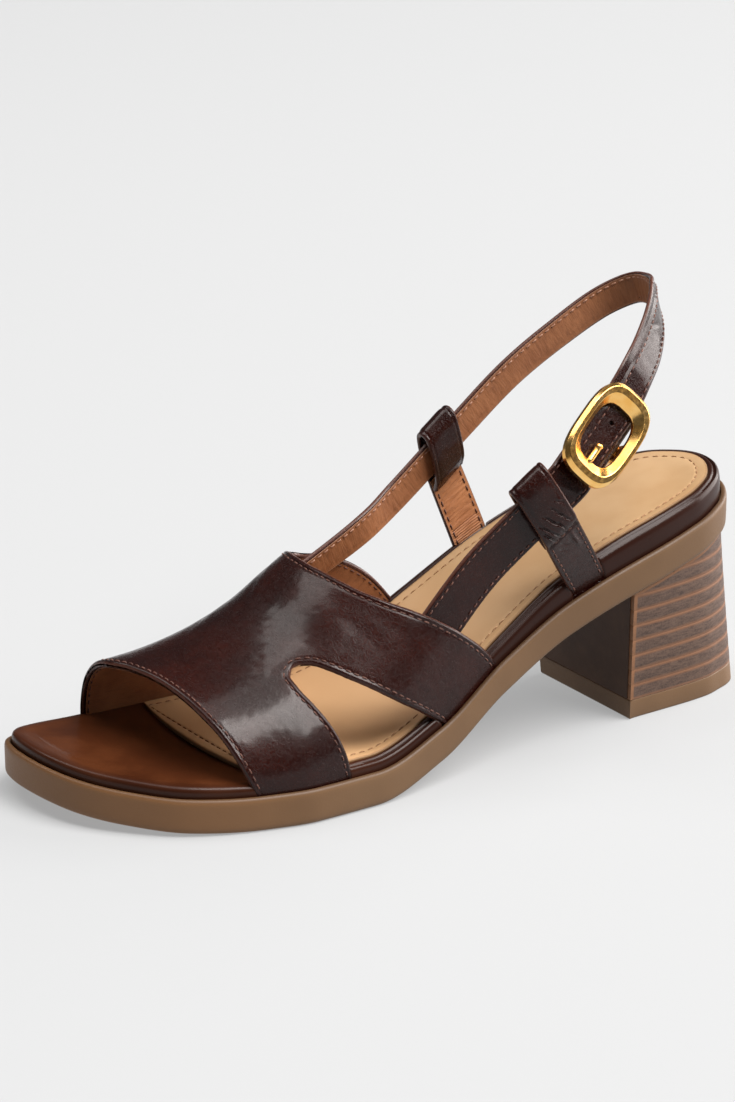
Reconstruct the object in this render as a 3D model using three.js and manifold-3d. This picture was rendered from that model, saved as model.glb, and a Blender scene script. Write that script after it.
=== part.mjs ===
// Heeled slingback sandal for the left foot: moulded sole on a stacked block heel, wrapped footbed,
// cut-out vamp, and a strap round the heel that closes with an octagonal buckle on the outer side.
// Millimetres, +Z up. While the parts are worked out, x runs from the back of the sole to the toe,
// +y is the outer side of the foot and z = 0 is the ground. The group at the end moves x so that the
// origin lies on the ground under the middle of the heel's tread.
import * as THREE from 'three';
import { mergeVertices } from 'three/addons/utils/BufferGeometryUtils.js';
import Module from 'manifold-3d';

// Sole and heel
const SOLE_LENGTH = 236.5;
const BALL_WIDTH = 85;
const HEEL_HEIGHT = 55;
const TOE_SPRING = 5;
const SOLE_THICKNESS = 10.5;
const RIM_WIDTH = 1.9;
const WELL_DEPTH = 1.5;
const TREAD_LENGTH = 50;
const TREAD_WIDTH = 47;
const TREAD_FRONT = 48.5;
const BREAST_TOP = 50.5;
const LIFT_HEIGHT = 6.5;
const HEEL_INSET = 1.6;

// Footbed and insock
const BED_HEIGHT = 8;
const BED_ROLL = 3.2;
const BED_DISH = 3.8;
const INSOCK_THICKNESS = 1;
const INSOCK_MARGIN = 4;
const INSOCK_FRONT = 191.4;
const INSOCK_BOW = 7;

// Upper
const INSTEP_HEIGHT = 52;
const VAMP_WALL = 2.2;
const STRAP_THICKNESS = 2.2;
const SLING_WIDTH = 10;
const SLING_RISE = 66;
const BUCKLE_STRAP_WIDTH = 14;
const TAB_WIDTH = 13;
const TAB_THICKNESS = 2;
const TAB_FLAP = 7;

// Buckle
const FRAME_LENGTH = 32.5;
const FRAME_WIDTH = 20.8;
const FRAME_BAR = 3.8;
const FRAME_END = 6.5;
const FRAME_DEPTH = 3.2;
const FRAME_FULLNESS = 3.2;
const PRONG_RADIUS = 1.1;
const PRONG_LENGTH = 9;
const KEEPER_WIDTH = 6;
const KEEPER_THICKNESS = 1.2;

// Clearances: where two pieces meet, under the insock on its dished bed, beside the feet of the tabs,
// and between a strap and the tab that bends round it.
const GAP = 0.3;
const INSOCK_GAP = 0.42;
const TAB_FOOT_GAP = 0.45;
const TAB_STRAP_GAP = 0.9;

// Eased edges: share of a strap's thickness, of the frame's depth and of the prong's radius.
const STRAP_EASE = 0.25;
const FRAME_EASE = 0.3;
const PRONG_EASE = 0.5;

// Length over which the footbed's edge steps in beside a leg of the vamp or a tab's foot, and how
// many ball widths make the curve of the vamp that a flat strap root spans.
const LEG_RAMP = 9;
const ROOT_CURVE = 1.5;

// Sole: along is a share of its length, outer and inner are shares of the ball width, rise of the
// heel height, spring of the toe spring, and bed of the footbed's height over the rim.
const SOLE = [
  { along: 0.000, outer: -0.012, inner: -0.012, rise: 1.000, spring: 0.00, bed: 0.88 },
  { along: 0.017, outer: 0.141, inner: -0.150, rise: 0.988, spring: 0.00, bed: 0.90 },
  { along: 0.051, outer: 0.241, inner: -0.250, rise: 0.962, spring: 0.00, bed: 0.92 },
  { along: 0.106, outer: 0.306, inner: -0.312, rise: 0.905, spring: 0.00, bed: 0.96 },
  { along: 0.190, outer: 0.333, inner: -0.338, rise: 0.811, spring: 0.00, bed: 0.98 },
  { along: 0.317, outer: 0.336, inner: -0.342, rise: 0.633, spring: 0.00, bed: 0.88 },
  { along: 0.423, outer: 0.355, inner: -0.371, rise: 0.404, spring: 0.00, bed: 0.62 },
  { along: 0.529, outer: 0.396, inner: -0.441, rise: 0.127, spring: 0.00, bed: 0.40 },
  { along: 0.634, outer: 0.435, inner: -0.518, rise: 0.000, spring: 0.00, bed: 0.36 },
  { along: 0.719, outer: 0.440, inner: -0.553, rise: 0.000, spring: 0.00, bed: 0.37 },
  { along: 0.785, outer: 0.405, inner: -0.557, rise: 0.000, spring: 0.00, bed: 0.38 },
  { along: 0.875, outer: 0.306, inner: -0.539, rise: 0.000, spring: 0.14, bed: 0.41 },
  { along: 0.934, outer: 0.165, inner: -0.512, rise: 0.000, spring: 0.42, bed: 0.43 },
  { along: 0.973, outer: 0.024, inner: -0.470, rise: 0.000, spring: 0.72, bed: 0.44 },
  { along: 0.994, outer: -0.141, inner: -0.400, rise: 0.000, spring: 0.94, bed: 0.45 },
  { along: 1.000, outer: -0.294, inner: -0.294, rise: 0.000, spring: 1.00, bed: 0.45 },
];

// Side of the sole: inset is a share of the rim's width, level of the sole's thickness.
const SOLE_SIDE = [
  { inset: 1.05, level: 0.00 },
  { inset: 0.42, level: 0.03 },
  { inset: 0.08, level: 0.13 },
  { inset: 0.00, level: 0.30 },
  { inset: 0.00, level: 0.86 },
  { inset: 0.18, level: 0.97 },
  { inset: 0.55, level: 1.00 },
  { inset: 1.00, level: 1.00 },
];

// Edge of the footbed: inset is a share of the roll, level of the footbed's height.
const BED_EDGE = [
  { inset: 0.00, level: 0.45 },
  { inset: 0.16, level: 0.78 },
  { inset: 0.50, level: 0.96 },
  { inset: 1.00, level: 1.00 },
];
const DISH_LEVEL = 0.93;

// Tread outline: along is a share of its length from the back, half of its half width.
const TREAD = [
  { along: 0.00, half: 0.00 },
  { along: 0.02, half: 0.50 },
  { along: 0.11, half: 0.70 },
  { along: 0.21, half: 0.79 },
  { along: 0.35, half: 0.89 },
  { along: 0.55, half: 0.94 },
  { along: 1.00, half: 1.00 },
];

// Last under the vamp: along is a share of the sole's length, ridge the place of its crest as a share
// of the ball width, crest its height as a share of the instep height, full how boxy the section is.
const LAST = [
  { along: 0.38, ridge: -0.060, crest: 1.62, full: 2.30 },
  { along: 0.48, ridge: -0.090, crest: 1.36, full: 2.30 },
  { along: 0.56, ridge: -0.130, crest: 1.13, full: 2.25 },
  { along: 0.63, ridge: -0.165, crest: 0.93, full: 2.20 },
  { along: 0.68, ridge: -0.185, crest: 0.75, full: 2.20 },
  { along: 0.745, ridge: -0.205, crest: 0.605, full: 2.25 },
  { along: 0.81, ridge: -0.225, crest: 0.525, full: 2.35 },
  { along: 0.865, ridge: -0.235, crest: 0.49, full: 2.45 },
  { along: 0.92, ridge: -0.240, crest: 0.44, full: 2.50 },
];

// Edges of the vamp: around runs from 0 at the inner feather line over the foot to 1 at the outer one,
// toe and throat are the places of the two edges as shares of the sole's length.
const VAMP = [
  { around: 0.00, toe: 0.867, throat: 0.426 },
  { around: 0.07, toe: 0.867, throat: 0.461 },
  { around: 0.14, toe: 0.867, throat: 0.502 },
  { around: 0.19, toe: 0.867, throat: 0.535 },
  { around: 0.25, toe: 0.8665, throat: 0.570 },
  { around: 0.33, toe: 0.866, throat: 0.598 },
  { around: 0.40, toe: 0.865, throat: 0.610 },
  { around: 0.47, toe: 0.859, throat: 0.616 },
  { around: 0.53, toe: 0.850, throat: 0.617 },
  { around: 0.59, toe: 0.842, throat: 0.613 },
  { around: 0.66, toe: 0.836, throat: 0.602 },
  { around: 0.73, toe: 0.830, throat: 0.580 },
  { around: 0.80, toe: 0.822, throat: 0.547 },
  { around: 0.85, toe: 0.817, throat: 0.518 },
  { around: 0.91, toe: 0.810, throat: 0.483 },
  { around: 0.97, toe: 0.802, throat: 0.448 },
  { around: 1.00, toe: 0.798, throat: 0.432 },
];

// Cut-out in the outer side: down runs from its closed end to just under the feather line, rear and
// front are its two edges as shares of the sole's length.
const CUT_TOP = 0.704;
const CUT_FOOT = 1.05;
const CUT = [
  { down: 0.00, rear: 0.700, front: 0.700 },
  { down: 0.02, rear: 0.691, front: 0.7075 },
  { down: 0.05, rear: 0.683, front: 0.7105 },
  { down: 0.15, rear: 0.668, front: 0.708 },
  { down: 0.28, rear: 0.649, front: 0.700 },
  { down: 0.42, rear: 0.622, front: 0.690 },
  { down: 0.57, rear: 0.591, front: 0.680 },
  { down: 0.74, rear: 0.552, front: 0.671 },
  { down: 0.86, rear: 0.524, front: 0.667 },
  { down: 1.00, rear: 0.490, front: 0.662 },
];

// Roots of the two straps on the inside of the vamp.
const SLING_ROOT = [
  { around: 0.225, along: 0.600 },
  { around: 0.205, along: 0.555 },
];
const BUCKLE_STRAP_ROOT = [
  { around: 0.885, along: 0.575 },
  { around: 0.875, along: 0.532 },
];

// Middle line of the sling strap from the vamp round the heel: along and across are shares of the
// sole's length and the ball width, high of the sling's rise over the rim. face is the way that its
// outer side looks, in degrees from the outer side of the foot towards the back, and lean how far
// that side tips up.
const SLING = [
  { along: 0.480, across: -0.325, high: 0.550, face: 180, lean: 8 },
  { along: 0.425, across: -0.365, high: 0.515, face: 180, lean: 4 },
  { along: 0.327, across: -0.371, high: 0.602, face: 180, lean: 0 },
  { along: 0.243, across: -0.359, high: 0.736, face: 176, lean: 0 },
  { along: 0.174, across: -0.341, high: 0.820, face: 168, lean: 0 },
  { along: 0.110, across: -0.294, high: 0.905, face: 148, lean: 0 },
  { along: 0.084, across: -0.200, high: 0.960, face: 112, lean: 4 },
  { along: 0.092, across: -0.075, high: 0.990, face: 80, lean: 8 },
  { along: 0.116, across: 0.045, high: 0.990, face: 55, lean: 14 },
  { along: 0.143, across: 0.145, high: 0.965, face: 38, lean: 20 },
  { along: 0.176, across: 0.230, high: 0.915, face: 22, lean: 24 },
  { along: 0.209, across: 0.295, high: 0.880, face: 12, lean: 24 },
];

// Middle line of the buckle strap between the vamp and the buckle, in the same columns.
const BUCKLE_STRAP = [
  { along: 0.455, across: 0.300, high: 0.495, face: -4, lean: 6 },
  { along: 0.390, across: 0.343, high: 0.578, face: 0, lean: 10 },
];

// Middle of the buckle, in the same shares, and the slope of its long side in degrees.
const BUCKLE = { along: 0.2845, across: 0.376, high: 0.750, face: -4, lean: 22, slope: 39.5, turn: 7 };

// Tabs: foot is the place where each leaves the sole, as a share of its length, and at how far along
// its strap it holds it.
const TAB_OUTER = { foot: 0.284, at: 0.475 };
const TAB_INNER = { foot: 0.312, at: 0.222 };

// Places along the buckle, as shares of its length, that each strap runs through behind the frame.
const SLING_BEHIND = [0.42, 0.1, -0.2, -0.37];
const BUCKLE_STRAP_BEHIND = [-0.52, -0.38, 0, 0.46];

// Bend of a tab over its strap, in degrees.
const TAB_BEND = [0, 45, 90, 135, 180];

// Numbers of steps
const SIDE_STEPS = 40;
const HEEL_STEPS = 16;
const AROUND_STEPS = 40;
const ALONG_STEPS = 16;
const CUT_STEPS = 16;
const FRONT_STEPS = 5;
const SLING_STEPS = 56;
const BUCKLE_STRAP_STEPS = 24;
const TAB_STEPS = 22;
const FRAME_STEPS = 40;
const PRONG_STEPS = 8;

// Small step for slopes, and the distance within which corners merge
const SLOPE_STEP = 0.004;
const MERGE = 1e-4;

// Angle of a share of a length, which gives round ends to what is interpolated over it.
function turnOf(share) {
  return Math.acos(1 - 2 * THREE.MathUtils.clamp(share, 0, 1)) / Math.PI;
}

function shareOf(turn) {
  return (1 - Math.cos(Math.PI * turn)) / 2;
}

// Smooth value of a table's column, with no overshoot between its rows.
function between(table, key, column, at, place = (value) => value) {
  const xs = table.map((row) => place(row[key]));
  const ys = table.map((row) => row[column]);
  const last = xs.length - 1;
  const x = THREE.MathUtils.clamp(place(at), xs[0], xs[last]);
  let i = 0;
  while (i < last - 1 && x > xs[i + 1]) i += 1;
  const secant = (k) => (ys[k + 1] - ys[k]) / (xs[k + 1] - xs[k]);
  const slope = (k) => {
    if (k === 0) return secant(0);
    if (k === last) return secant(last - 1);
    const before = secant(k - 1);
    const after = secant(k);
    if (before * after <= 0) return 0;
    const short = xs[k] - xs[k - 1];
    const long = xs[k + 1] - xs[k];
    const a = 2 * long + short;
    const b = long + 2 * short;
    return (a + b) / (a / before + b / after);
  };
  const step = xs[i + 1] - xs[i];
  const t = (x - xs[i]) / step;
  const s = 1 - t;
  return (1 + 2 * t) * s * s * ys[i] + t * s * s * step * slope(i)
    + t * t * (3 - 2 * t) * ys[i + 1] - t * t * s * step * slope(i + 1);
}

// Sole as functions of x
function soleAt(column, x) {
  return between(SOLE, 'along', column, x / SOLE_LENGTH, turnOf);
}

function underside(x) {
  return HEEL_HEIGHT * soleAt('rise', x) + TOE_SPRING * soleAt('spring', x);
}

function rim(x) {
  return underside(x) + SOLE_THICKNESS;
}

function bedHeight(x) {
  return BED_HEIGHT * soleAt('bed', x);
}

// Point on the sole's outline: turn goes 0 to 1 along the outer side, and on to 2 back along the inner.
function outlinePoint(turn) {
  const round = (turn + 2) % 2;
  const column = round <= 1 ? 'outer' : 'inner';
  const x = SOLE_LENGTH * shareOf(round <= 1 ? round : 2 - round);
  return new THREE.Vector2(x, BALL_WIDTH * soleAt(column, x));
}

function insetPoint(turn, inset) {
  const along = outlinePoint(turn + SLOPE_STEP).sub(outlinePoint(turn - SLOPE_STEP)).normalize();
  return outlinePoint(turn).add(new THREE.Vector2(along.y, -along.x).multiplyScalar(inset));
}

// Closed ring of points inside the outline; level gives each point's height.
function soleRing(inset, level) {
  const ring = [];
  for (let i = 0; i < 2 * SIDE_STEPS; i += 1) {
    const turn = i / SIDE_STEPS;
    const p = insetPoint(turn, inset(turn));
    ring.push(new THREE.Vector3(p.x, p.y, level(p.x)));
  }
  return ring;
}

// Mesh from points and faces, with shared corners merged, empty faces dropped and faces looking out.
function solid(points, faces) {
  const raw = new THREE.BufferGeometry();
  raw.setAttribute('position', new THREE.Float32BufferAttribute(points.flatMap((p) => [p.x, p.y, p.z]), 3));
  raw.setIndex(faces);
  const merged = mergeVertices(raw, MERGE);
  const index = Array.from(merged.index.array);
  const kept = [];
  for (let i = 0; i < index.length; i += 3) {
    const [a, b, c] = index.slice(i, i + 3);
    if (a !== b && b !== c && c !== a) kept.push(a, b, c);
  }
  const position = merged.getAttribute('position');
  const corner = (k) => new THREE.Vector3().fromBufferAttribute(position, k);
  let volume = 0;
  for (let i = 0; i < kept.length; i += 3) {
    volume += corner(kept[i]).dot(corner(kept[i + 1]).cross(corner(kept[i + 2])));
  }
  if (volume < 0) kept.reverse();
  merged.setIndex(kept);
  return merged;
}

// Solid through rings of points. Each end is closed by rungs across the ring, from point 0 to its middle.
function loft(rings) {
  const count = rings[0].length;
  const faces = [];
  for (let r = 0; r + 1 < rings.length; r += 1) {
    for (let i = 0; i < count; i += 1) {
      const a = r * count + i;
      const b = r * count + ((i + 1) % count);
      faces.push(a, b, b + count, a, b + count, a + count);
    }
  }
  const end = (rings.length - 1) * count;
  for (let i = 0; i < count / 2; i += 1) {
    const left = [i, i + 1];
    const right = [(count - i) % count, count - i - 1];
    faces.push(left[0], right[0], left[1], left[1], right[0], right[1]);
    faces.push(end + left[0], end + left[1], end + right[0], end + left[1], end + right[1], end + right[0]);
  }
  return solid(rings.flat(), faces);
}

// Closed loop of sections, such as a frame.
function closedLoft(sections) {
  const count = sections[0].length;
  const faces = [];
  for (let r = 0; r < sections.length; r += 1) {
    const next = (r + 1) % sections.length;
    for (let i = 0; i < count; i += 1) {
      const [a, b] = [r * count + i, r * count + ((i + 1) % count)];
      const [c, d] = [next * count + i, next * count + ((i + 1) % count)];
      faces.push(a, c, d, a, d, b);
    }
  }
  return solid(sections.flat(), faces);
}

// Wall between two grids of points that have the same rows and columns.
function wall(outer, inner) {
  const rows = outer.length;
  const columns = outer[0].length;
  const base = rows * columns;
  const at = (r, c) => r * columns + c;
  const faces = [];
  for (let r = 0; r + 1 < rows; r += 1) {
    for (let c = 0; c + 1 < columns; c += 1) {
      const [a, b, d, e] = [at(r, c), at(r, c + 1), at(r + 1, c), at(r + 1, c + 1)];
      faces.push(a, b, e, a, e, d, base + a, base + e, base + b, base + a, base + d, base + e);
    }
  }
  const hem = (a, b) => faces.push(a, base + b, b, a, base + a, base + b);
  for (let c = 0; c + 1 < columns; c += 1) {
    hem(at(0, c), at(0, c + 1));
    hem(at(rows - 1, c + 1), at(rows - 1, c));
  }
  for (let r = 0; r + 1 < rows; r += 1) {
    hem(at(r + 1, 0), at(r, 0));
    hem(at(r, columns - 1), at(r + 1, columns - 1));
  }
  return solid([...outer.flat(), ...inner.flat()], faces);
}

// Outer face of the last at a place around the foot and along the sole. Past the feather lines it
// goes straight down.
function lastPoint(around, x) {
  const share = x / SOLE_LENGTH;
  const angle = Math.PI * THREE.MathUtils.clamp(around, 0, 1);
  const full = between(LAST, 'along', 'full', share);
  const cos = -Math.cos(angle);
  const sin = Math.sin(angle);
  const reach = (Math.abs(cos) ** full + sin ** full) ** (1 / full);
  const ridge = BALL_WIDTH * between(LAST, 'along', 'ridge', share);
  const feather = RIM_WIDTH + GAP;
  const outer = BALL_WIDTH * soleAt('outer', x) - feather;
  const inner = BALL_WIDTH * soleAt('inner', x) + feather;
  const span = cos > 0 ? outer - ridge : ridge - inner;
  const crest = INSTEP_HEIGHT * between(LAST, 'along', 'crest', share);
  const below = INSTEP_HEIGHT * Math.max(0, around - 1, -around);
  return new THREE.Vector3(x, ridge + (span * cos) / reach, rim(x) + (crest * sin) / reach - below);
}

function lastNormal(around, x) {
  const middle = THREE.MathUtils.clamp(around, 2 * SLOPE_STEP, 1 - 2 * SLOPE_STEP);
  const across = lastPoint(middle + SLOPE_STEP, x).sub(lastPoint(middle - SLOPE_STEP, x));
  const along = lastPoint(middle, x + 1).sub(lastPoint(middle, x - 1));
  return along.cross(across).normalize();
}

function offLast(around, x, distance) {
  return lastPoint(around, x).addScaledVector(lastNormal(around, x), distance);
}

// How far the footbed's edge steps in behind the legs of the vamp and the feet of the tabs.
function legRecess(turn) {
  const x = outlinePoint(turn).x;
  const around = turn % 2 < 1 ? 1 : 0;
  const foot = SOLE_LENGTH * (turn % 2 < 1 ? TAB_OUTER : TAB_INNER).foot;
  const vampEdge = (column) => SOLE_LENGTH * between(VAMP, 'around', column, around);
  const legs = [
    { from: vampEdge('throat'), to: vampEdge('toe') },
    { from: foot - TAB_WIDTH / 2, to: foot + TAB_WIDTH / 2 },
  ];
  const near = Math.max(...legs.map((leg) => 1 - Math.max(leg.from - x, x - leg.to, 0) / LEG_RAMP));
  return (Math.max(VAMP_WALL, TAB_THICKNESS) + GAP) * THREE.MathUtils.smoothstep(near, 0, 0.5);
}

function bedInset(turn) {
  return RIM_WIDTH + GAP + legRecess(turn);
}

function bedTop(x, level) {
  return rim(x) + bedHeight(x) * level;
}

function outsole() {
  const rings = SOLE_SIDE.map((row) => soleRing(
    () => row.inset * RIM_WIDTH,
    (x) => underside(x) + row.level * SOLE_THICKNESS,
  ));
  rings.push(soleRing(() => RIM_WIDTH, (x) => rim(x) - WELL_DEPTH));
  return loft(rings);
}

function footbed() {
  const rings = [soleRing(bedInset, (x) => rim(x) - WELL_DEPTH + GAP)];
  for (const row of BED_EDGE) {
    rings.push(soleRing((turn) => bedInset(turn) + row.inset * BED_ROLL, (x) => bedTop(x, row.level)));
  }
  rings.push(soleRing((turn) => bedInset(turn) + BED_ROLL + BED_DISH, (x) => bedTop(x, DISH_LEVEL)));
  return loft(rings);
}

// Ring of the insock: along both sides of the footbed, and across it in a bow at the front.
function insockRing(inset, level, lift) {
  const corner = turnOf((INSOCK_FRONT - INSOCK_BOW) / SOLE_LENGTH);
  const side = (turn) => {
    const p = insetPoint(turn, bedInset(turn) + inset);
    return new THREE.Vector3(p.x, p.y, bedTop(p.x, level) + lift);
  };
  const turns = Array.from({ length: SIDE_STEPS }, (_, i) => (corner * i) / (SIDE_STEPS - 1));
  const outer = turns.map(side);
  const inner = turns.slice(1).map((turn) => side(2 - turn)).reverse();
  const [from, to] = [outer.at(-1), inner[0]];
  const front = [];
  for (let i = 1; i < 2 * FRONT_STEPS; i += 1) {
    const share = i / FRONT_STEPS - 1;
    const p = from.clone().lerp(to, (1 + share) / 2);
    const x = p.x + (INSOCK_BOW + BED_ROLL + BED_DISH - inset) * (1 - share * share);
    const dish = THREE.MathUtils.lerp(level, DISH_LEVEL, 1 - share ** 8);
    front.push(new THREE.Vector3(x, p.y, bedTop(x, dish) + lift));
  }
  return [...outer, ...front, ...inner];
}

function insock() {
  const [edge, middle] = [INSOCK_MARGIN, BED_ROLL + BED_DISH];
  const edgeLevel = THREE.MathUtils.lerp(1, DISH_LEVEL, (INSOCK_MARGIN - BED_ROLL) / BED_DISH);
  const top = INSOCK_GAP + INSOCK_THICKNESS;
  return loft([
    insockRing(middle, DISH_LEVEL, INSOCK_GAP),
    insockRing(edge, edgeLevel, INSOCK_GAP),
    insockRing(edge, edgeLevel, top),
    insockRing(middle, DISH_LEVEL, top),
  ]);
}

// Ring of the heel at a height: its back, outer side, breast and inner side. Its sides run straight
// from the tread to the underside of the sole.
function heelRing(height) {
  const breast = turnOf(BREAST_TOP / SOLE_LENGTH);
  const column = (turn) => {
    const top = insetPoint(turn, HEEL_INSET);
    const outer = turn <= 1;
    const share = shareOf(outer ? turn : 2 - turn) / shareOf(breast);
    const half = (TREAD_WIDTH / 2) * between(TREAD, 'along', 'half', share, turnOf);
    const foot = new THREE.Vector2(TREAD_FRONT - TREAD_LENGTH * (1 - share), outer ? half : -half);
    const roof = underside(top.x) - GAP;
    const z = height(roof);
    return new THREE.Vector3(
      THREE.MathUtils.lerp(foot.x, top.x, z / roof),
      THREE.MathUtils.lerp(foot.y, top.y, z / roof),
      z,
    );
  };
  const turns = Array.from({ length: HEEL_STEPS }, (_, i) => (breast * i) / (HEEL_STEPS - 1));
  const outer = turns.map(column);
  const inner = turns.slice(1).map((turn) => column(2 - turn)).reverse();
  const middle = outer.at(-1).clone().lerp(inner[0], 0.5);
  return [...outer, middle, ...inner];
}

function heelBlock() {
  return loft([heelRing(() => LIFT_HEIGHT + GAP), heelRing((roof) => roof)]);
}

function heelLift() {
  return loft([heelRing(() => 0), heelRing(() => LIFT_HEIGHT)]);
}

// Boolean solids
const wasm = await Module();
wasm.setup();

function toBody(geometry) {
  return new wasm.Manifold(new wasm.Mesh({
    numProp: 3,
    vertProperties: new Float32Array(geometry.getAttribute('position').array),
    triVerts: new Uint32Array(geometry.index.array),
  }));
}

function fromBody(body) {
  const mesh = body.getMesh();
  const geometry = new THREE.BufferGeometry();
  geometry.setAttribute('position', new THREE.BufferAttribute(mesh.vertProperties, 3));
  geometry.setIndex(new THREE.BufferAttribute(mesh.triVerts, 1));
  return geometry;
}

// Vamp wall before its cut-out: rows go over the foot, columns from the toe edge to the throat.
function vampFace(depth) {
  const foot = (WELL_DEPTH - GAP) / INSTEP_HEIGHT;
  const rows = [-foot];
  for (let i = 0; i <= AROUND_STEPS; i += 1) rows.push(i / AROUND_STEPS);
  rows.push(1 + foot);
  return rows.map((around) => {
    const toe = SOLE_LENGTH * between(VAMP, 'around', 'toe', around);
    const throat = SOLE_LENGTH * between(VAMP, 'around', 'throat', around);
    return Array.from({ length: ALONG_STEPS + 1 }, (_, i) => {
      const x = THREE.MathUtils.lerp(toe, throat, i / ALONG_STEPS);
      return offLast(around, x, -depth);
    });
  });
}

// Solid that fills the cut-out, through the wall and past both of its faces.
function cutSolid() {
  const past = 2 * VAMP_WALL;
  const face = (distance) => Array.from({ length: CUT_STEPS + 1 }, (_, i) => {
    const down = shareOf(i / CUT_STEPS);
    const around = THREE.MathUtils.lerp(CUT_TOP, CUT_FOOT, down);
    const rear = SOLE_LENGTH * between(CUT, 'down', 'rear', down, turnOf);
    const front = SOLE_LENGTH * between(CUT, 'down', 'front', down, turnOf);
    return [rear, (rear + front) / 2, front].map((x) => offLast(around, x, distance));
  });
  return wall(face(past), face(-past));
}

function vamp() {
  const whole = wall(vampFace(0), vampFace(VAMP_WALL));
  return fromBody(toBody(whole).subtract(toBody(cutSolid())));
}

// Straps: a station is a point on the middle line and the way that the outer side looks.
function facing(row) {
  const face = THREE.MathUtils.degToRad(row.face);
  const lean = THREE.MathUtils.degToRad(row.lean);
  const level = Math.cos(lean);
  return new THREE.Vector3(-Math.sin(face) * level, Math.cos(face) * level, Math.sin(lean));
}

function place(row) {
  const x = row.along * SOLE_LENGTH;
  return new THREE.Vector3(x, row.across * BALL_WIDTH, rim(x) + row.high * SLING_RISE);
}

// A flat strap inside the curved vamp lies deeper by the hollow that its width spans.
function rootStation(row, width) {
  const x = row.along * SOLE_LENGTH;
  const hollow = width ** 2 / (ROOT_CURVE * BALL_WIDTH);
  const depth = VAMP_WALL + GAP + hollow + STRAP_THICKNESS / 2;
  return { at: offLast(row.around, x, -depth), out: lastNormal(row.around, x) };
}

// Frame of the buckle: up runs along it towards the heel, side across it and out away from the foot.
function buckleAxes() {
  const out = facing(BUCKLE);
  const slope = THREE.MathUtils.degToRad(BUCKLE.slope);
  const turn = THREE.MathUtils.degToRad(BUCKLE.turn);
  const up = new THREE.Vector3(-Math.cos(slope) * Math.cos(turn), -Math.sin(turn), Math.sin(slope));
  up.addScaledVector(out, -up.dot(out)).normalize();
  return { middle: place(BUCKLE), out, up, side: new THREE.Vector3().crossVectors(up, out) };
}

// Point in the buckle's frame: along it, across it and under the back of its frame.
function atBuckle(along, across, under) {
  const { middle, out, up, side } = buckleAxes();
  const face = middle.clone().addScaledVector(up, along).addScaledVector(side, across);
  return face.addScaledVector(out, -under);
}

const SLING_UNDER = GAP + STRAP_THICKNESS / 2;
const BUCKLE_STRAP_UNDER = SLING_UNDER + STRAP_THICKNESS + GAP;

function slingStations() {
  const free = SLING.map((row) => ({ at: place(row), out: facing(row) }));
  const { out } = buckleAxes();
  const closed = SLING_BEHIND.map((share) => ({
    at: atBuckle(share * FRAME_LENGTH, 0, SLING_UNDER),
    out,
  }));
  return [...SLING_ROOT.map((row) => rootStation(row, SLING_WIDTH)), ...free, ...closed];
}

function buckleStrapStations() {
  const free = BUCKLE_STRAP.map((row) => ({ at: place(row), out: facing(row) }));
  const { out } = buckleAxes();
  const closed = BUCKLE_STRAP_BEHIND.map((share) => ({
    at: atBuckle(share * FRAME_LENGTH, 0, BUCKLE_STRAP_UNDER),
    out,
  }));
  return [...BUCKLE_STRAP_ROOT.map((row) => rootStation(row, BUCKLE_STRAP_WIDTH)), ...free, ...closed];
}

// Smooth strap line: at a share of its length gives the point and the three directions there.
function strapLine(stations) {
  const line = new THREE.CatmullRomCurve3(stations.map((s) => s.at), false, 'centripetal');
  const sides = new THREE.CatmullRomCurve3(stations.map((s) => s.out), false, 'centripetal');
  return (share) => {
    const at = line.getPoint(share);
    const along = line.getTangent(share);
    const out = sides.getPoint(share);
    out.addScaledVector(along, -out.dot(along)).normalize();
    return { at, along, out, up: new THREE.Vector3().crossVectors(along, out) };
  };
}

// Section of a strap with eased edges.
function bandSection({ at, out, up }, width, thickness) {
  const [w, t] = [width / 2, thickness / 2];
  const [a, b] = [w - STRAP_EASE * thickness, t - STRAP_EASE * thickness];
  const corners = [[-w, b], [-a, t], [a, t], [w, b], [w, -b], [a, -t], [-a, -t], [-w, -b]];
  return corners.map(([across, over]) => at.clone().addScaledVector(up, across).addScaledVector(out, over));
}

function strap(stations, width, steps) {
  const at = strapLine(stations);
  const sections = Array.from({ length: steps + 1 }, (_, i) => at(i / steps));
  return loft(sections.map((station) => bandSection(station, width, STRAP_THICKNESS)));
}

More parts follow.
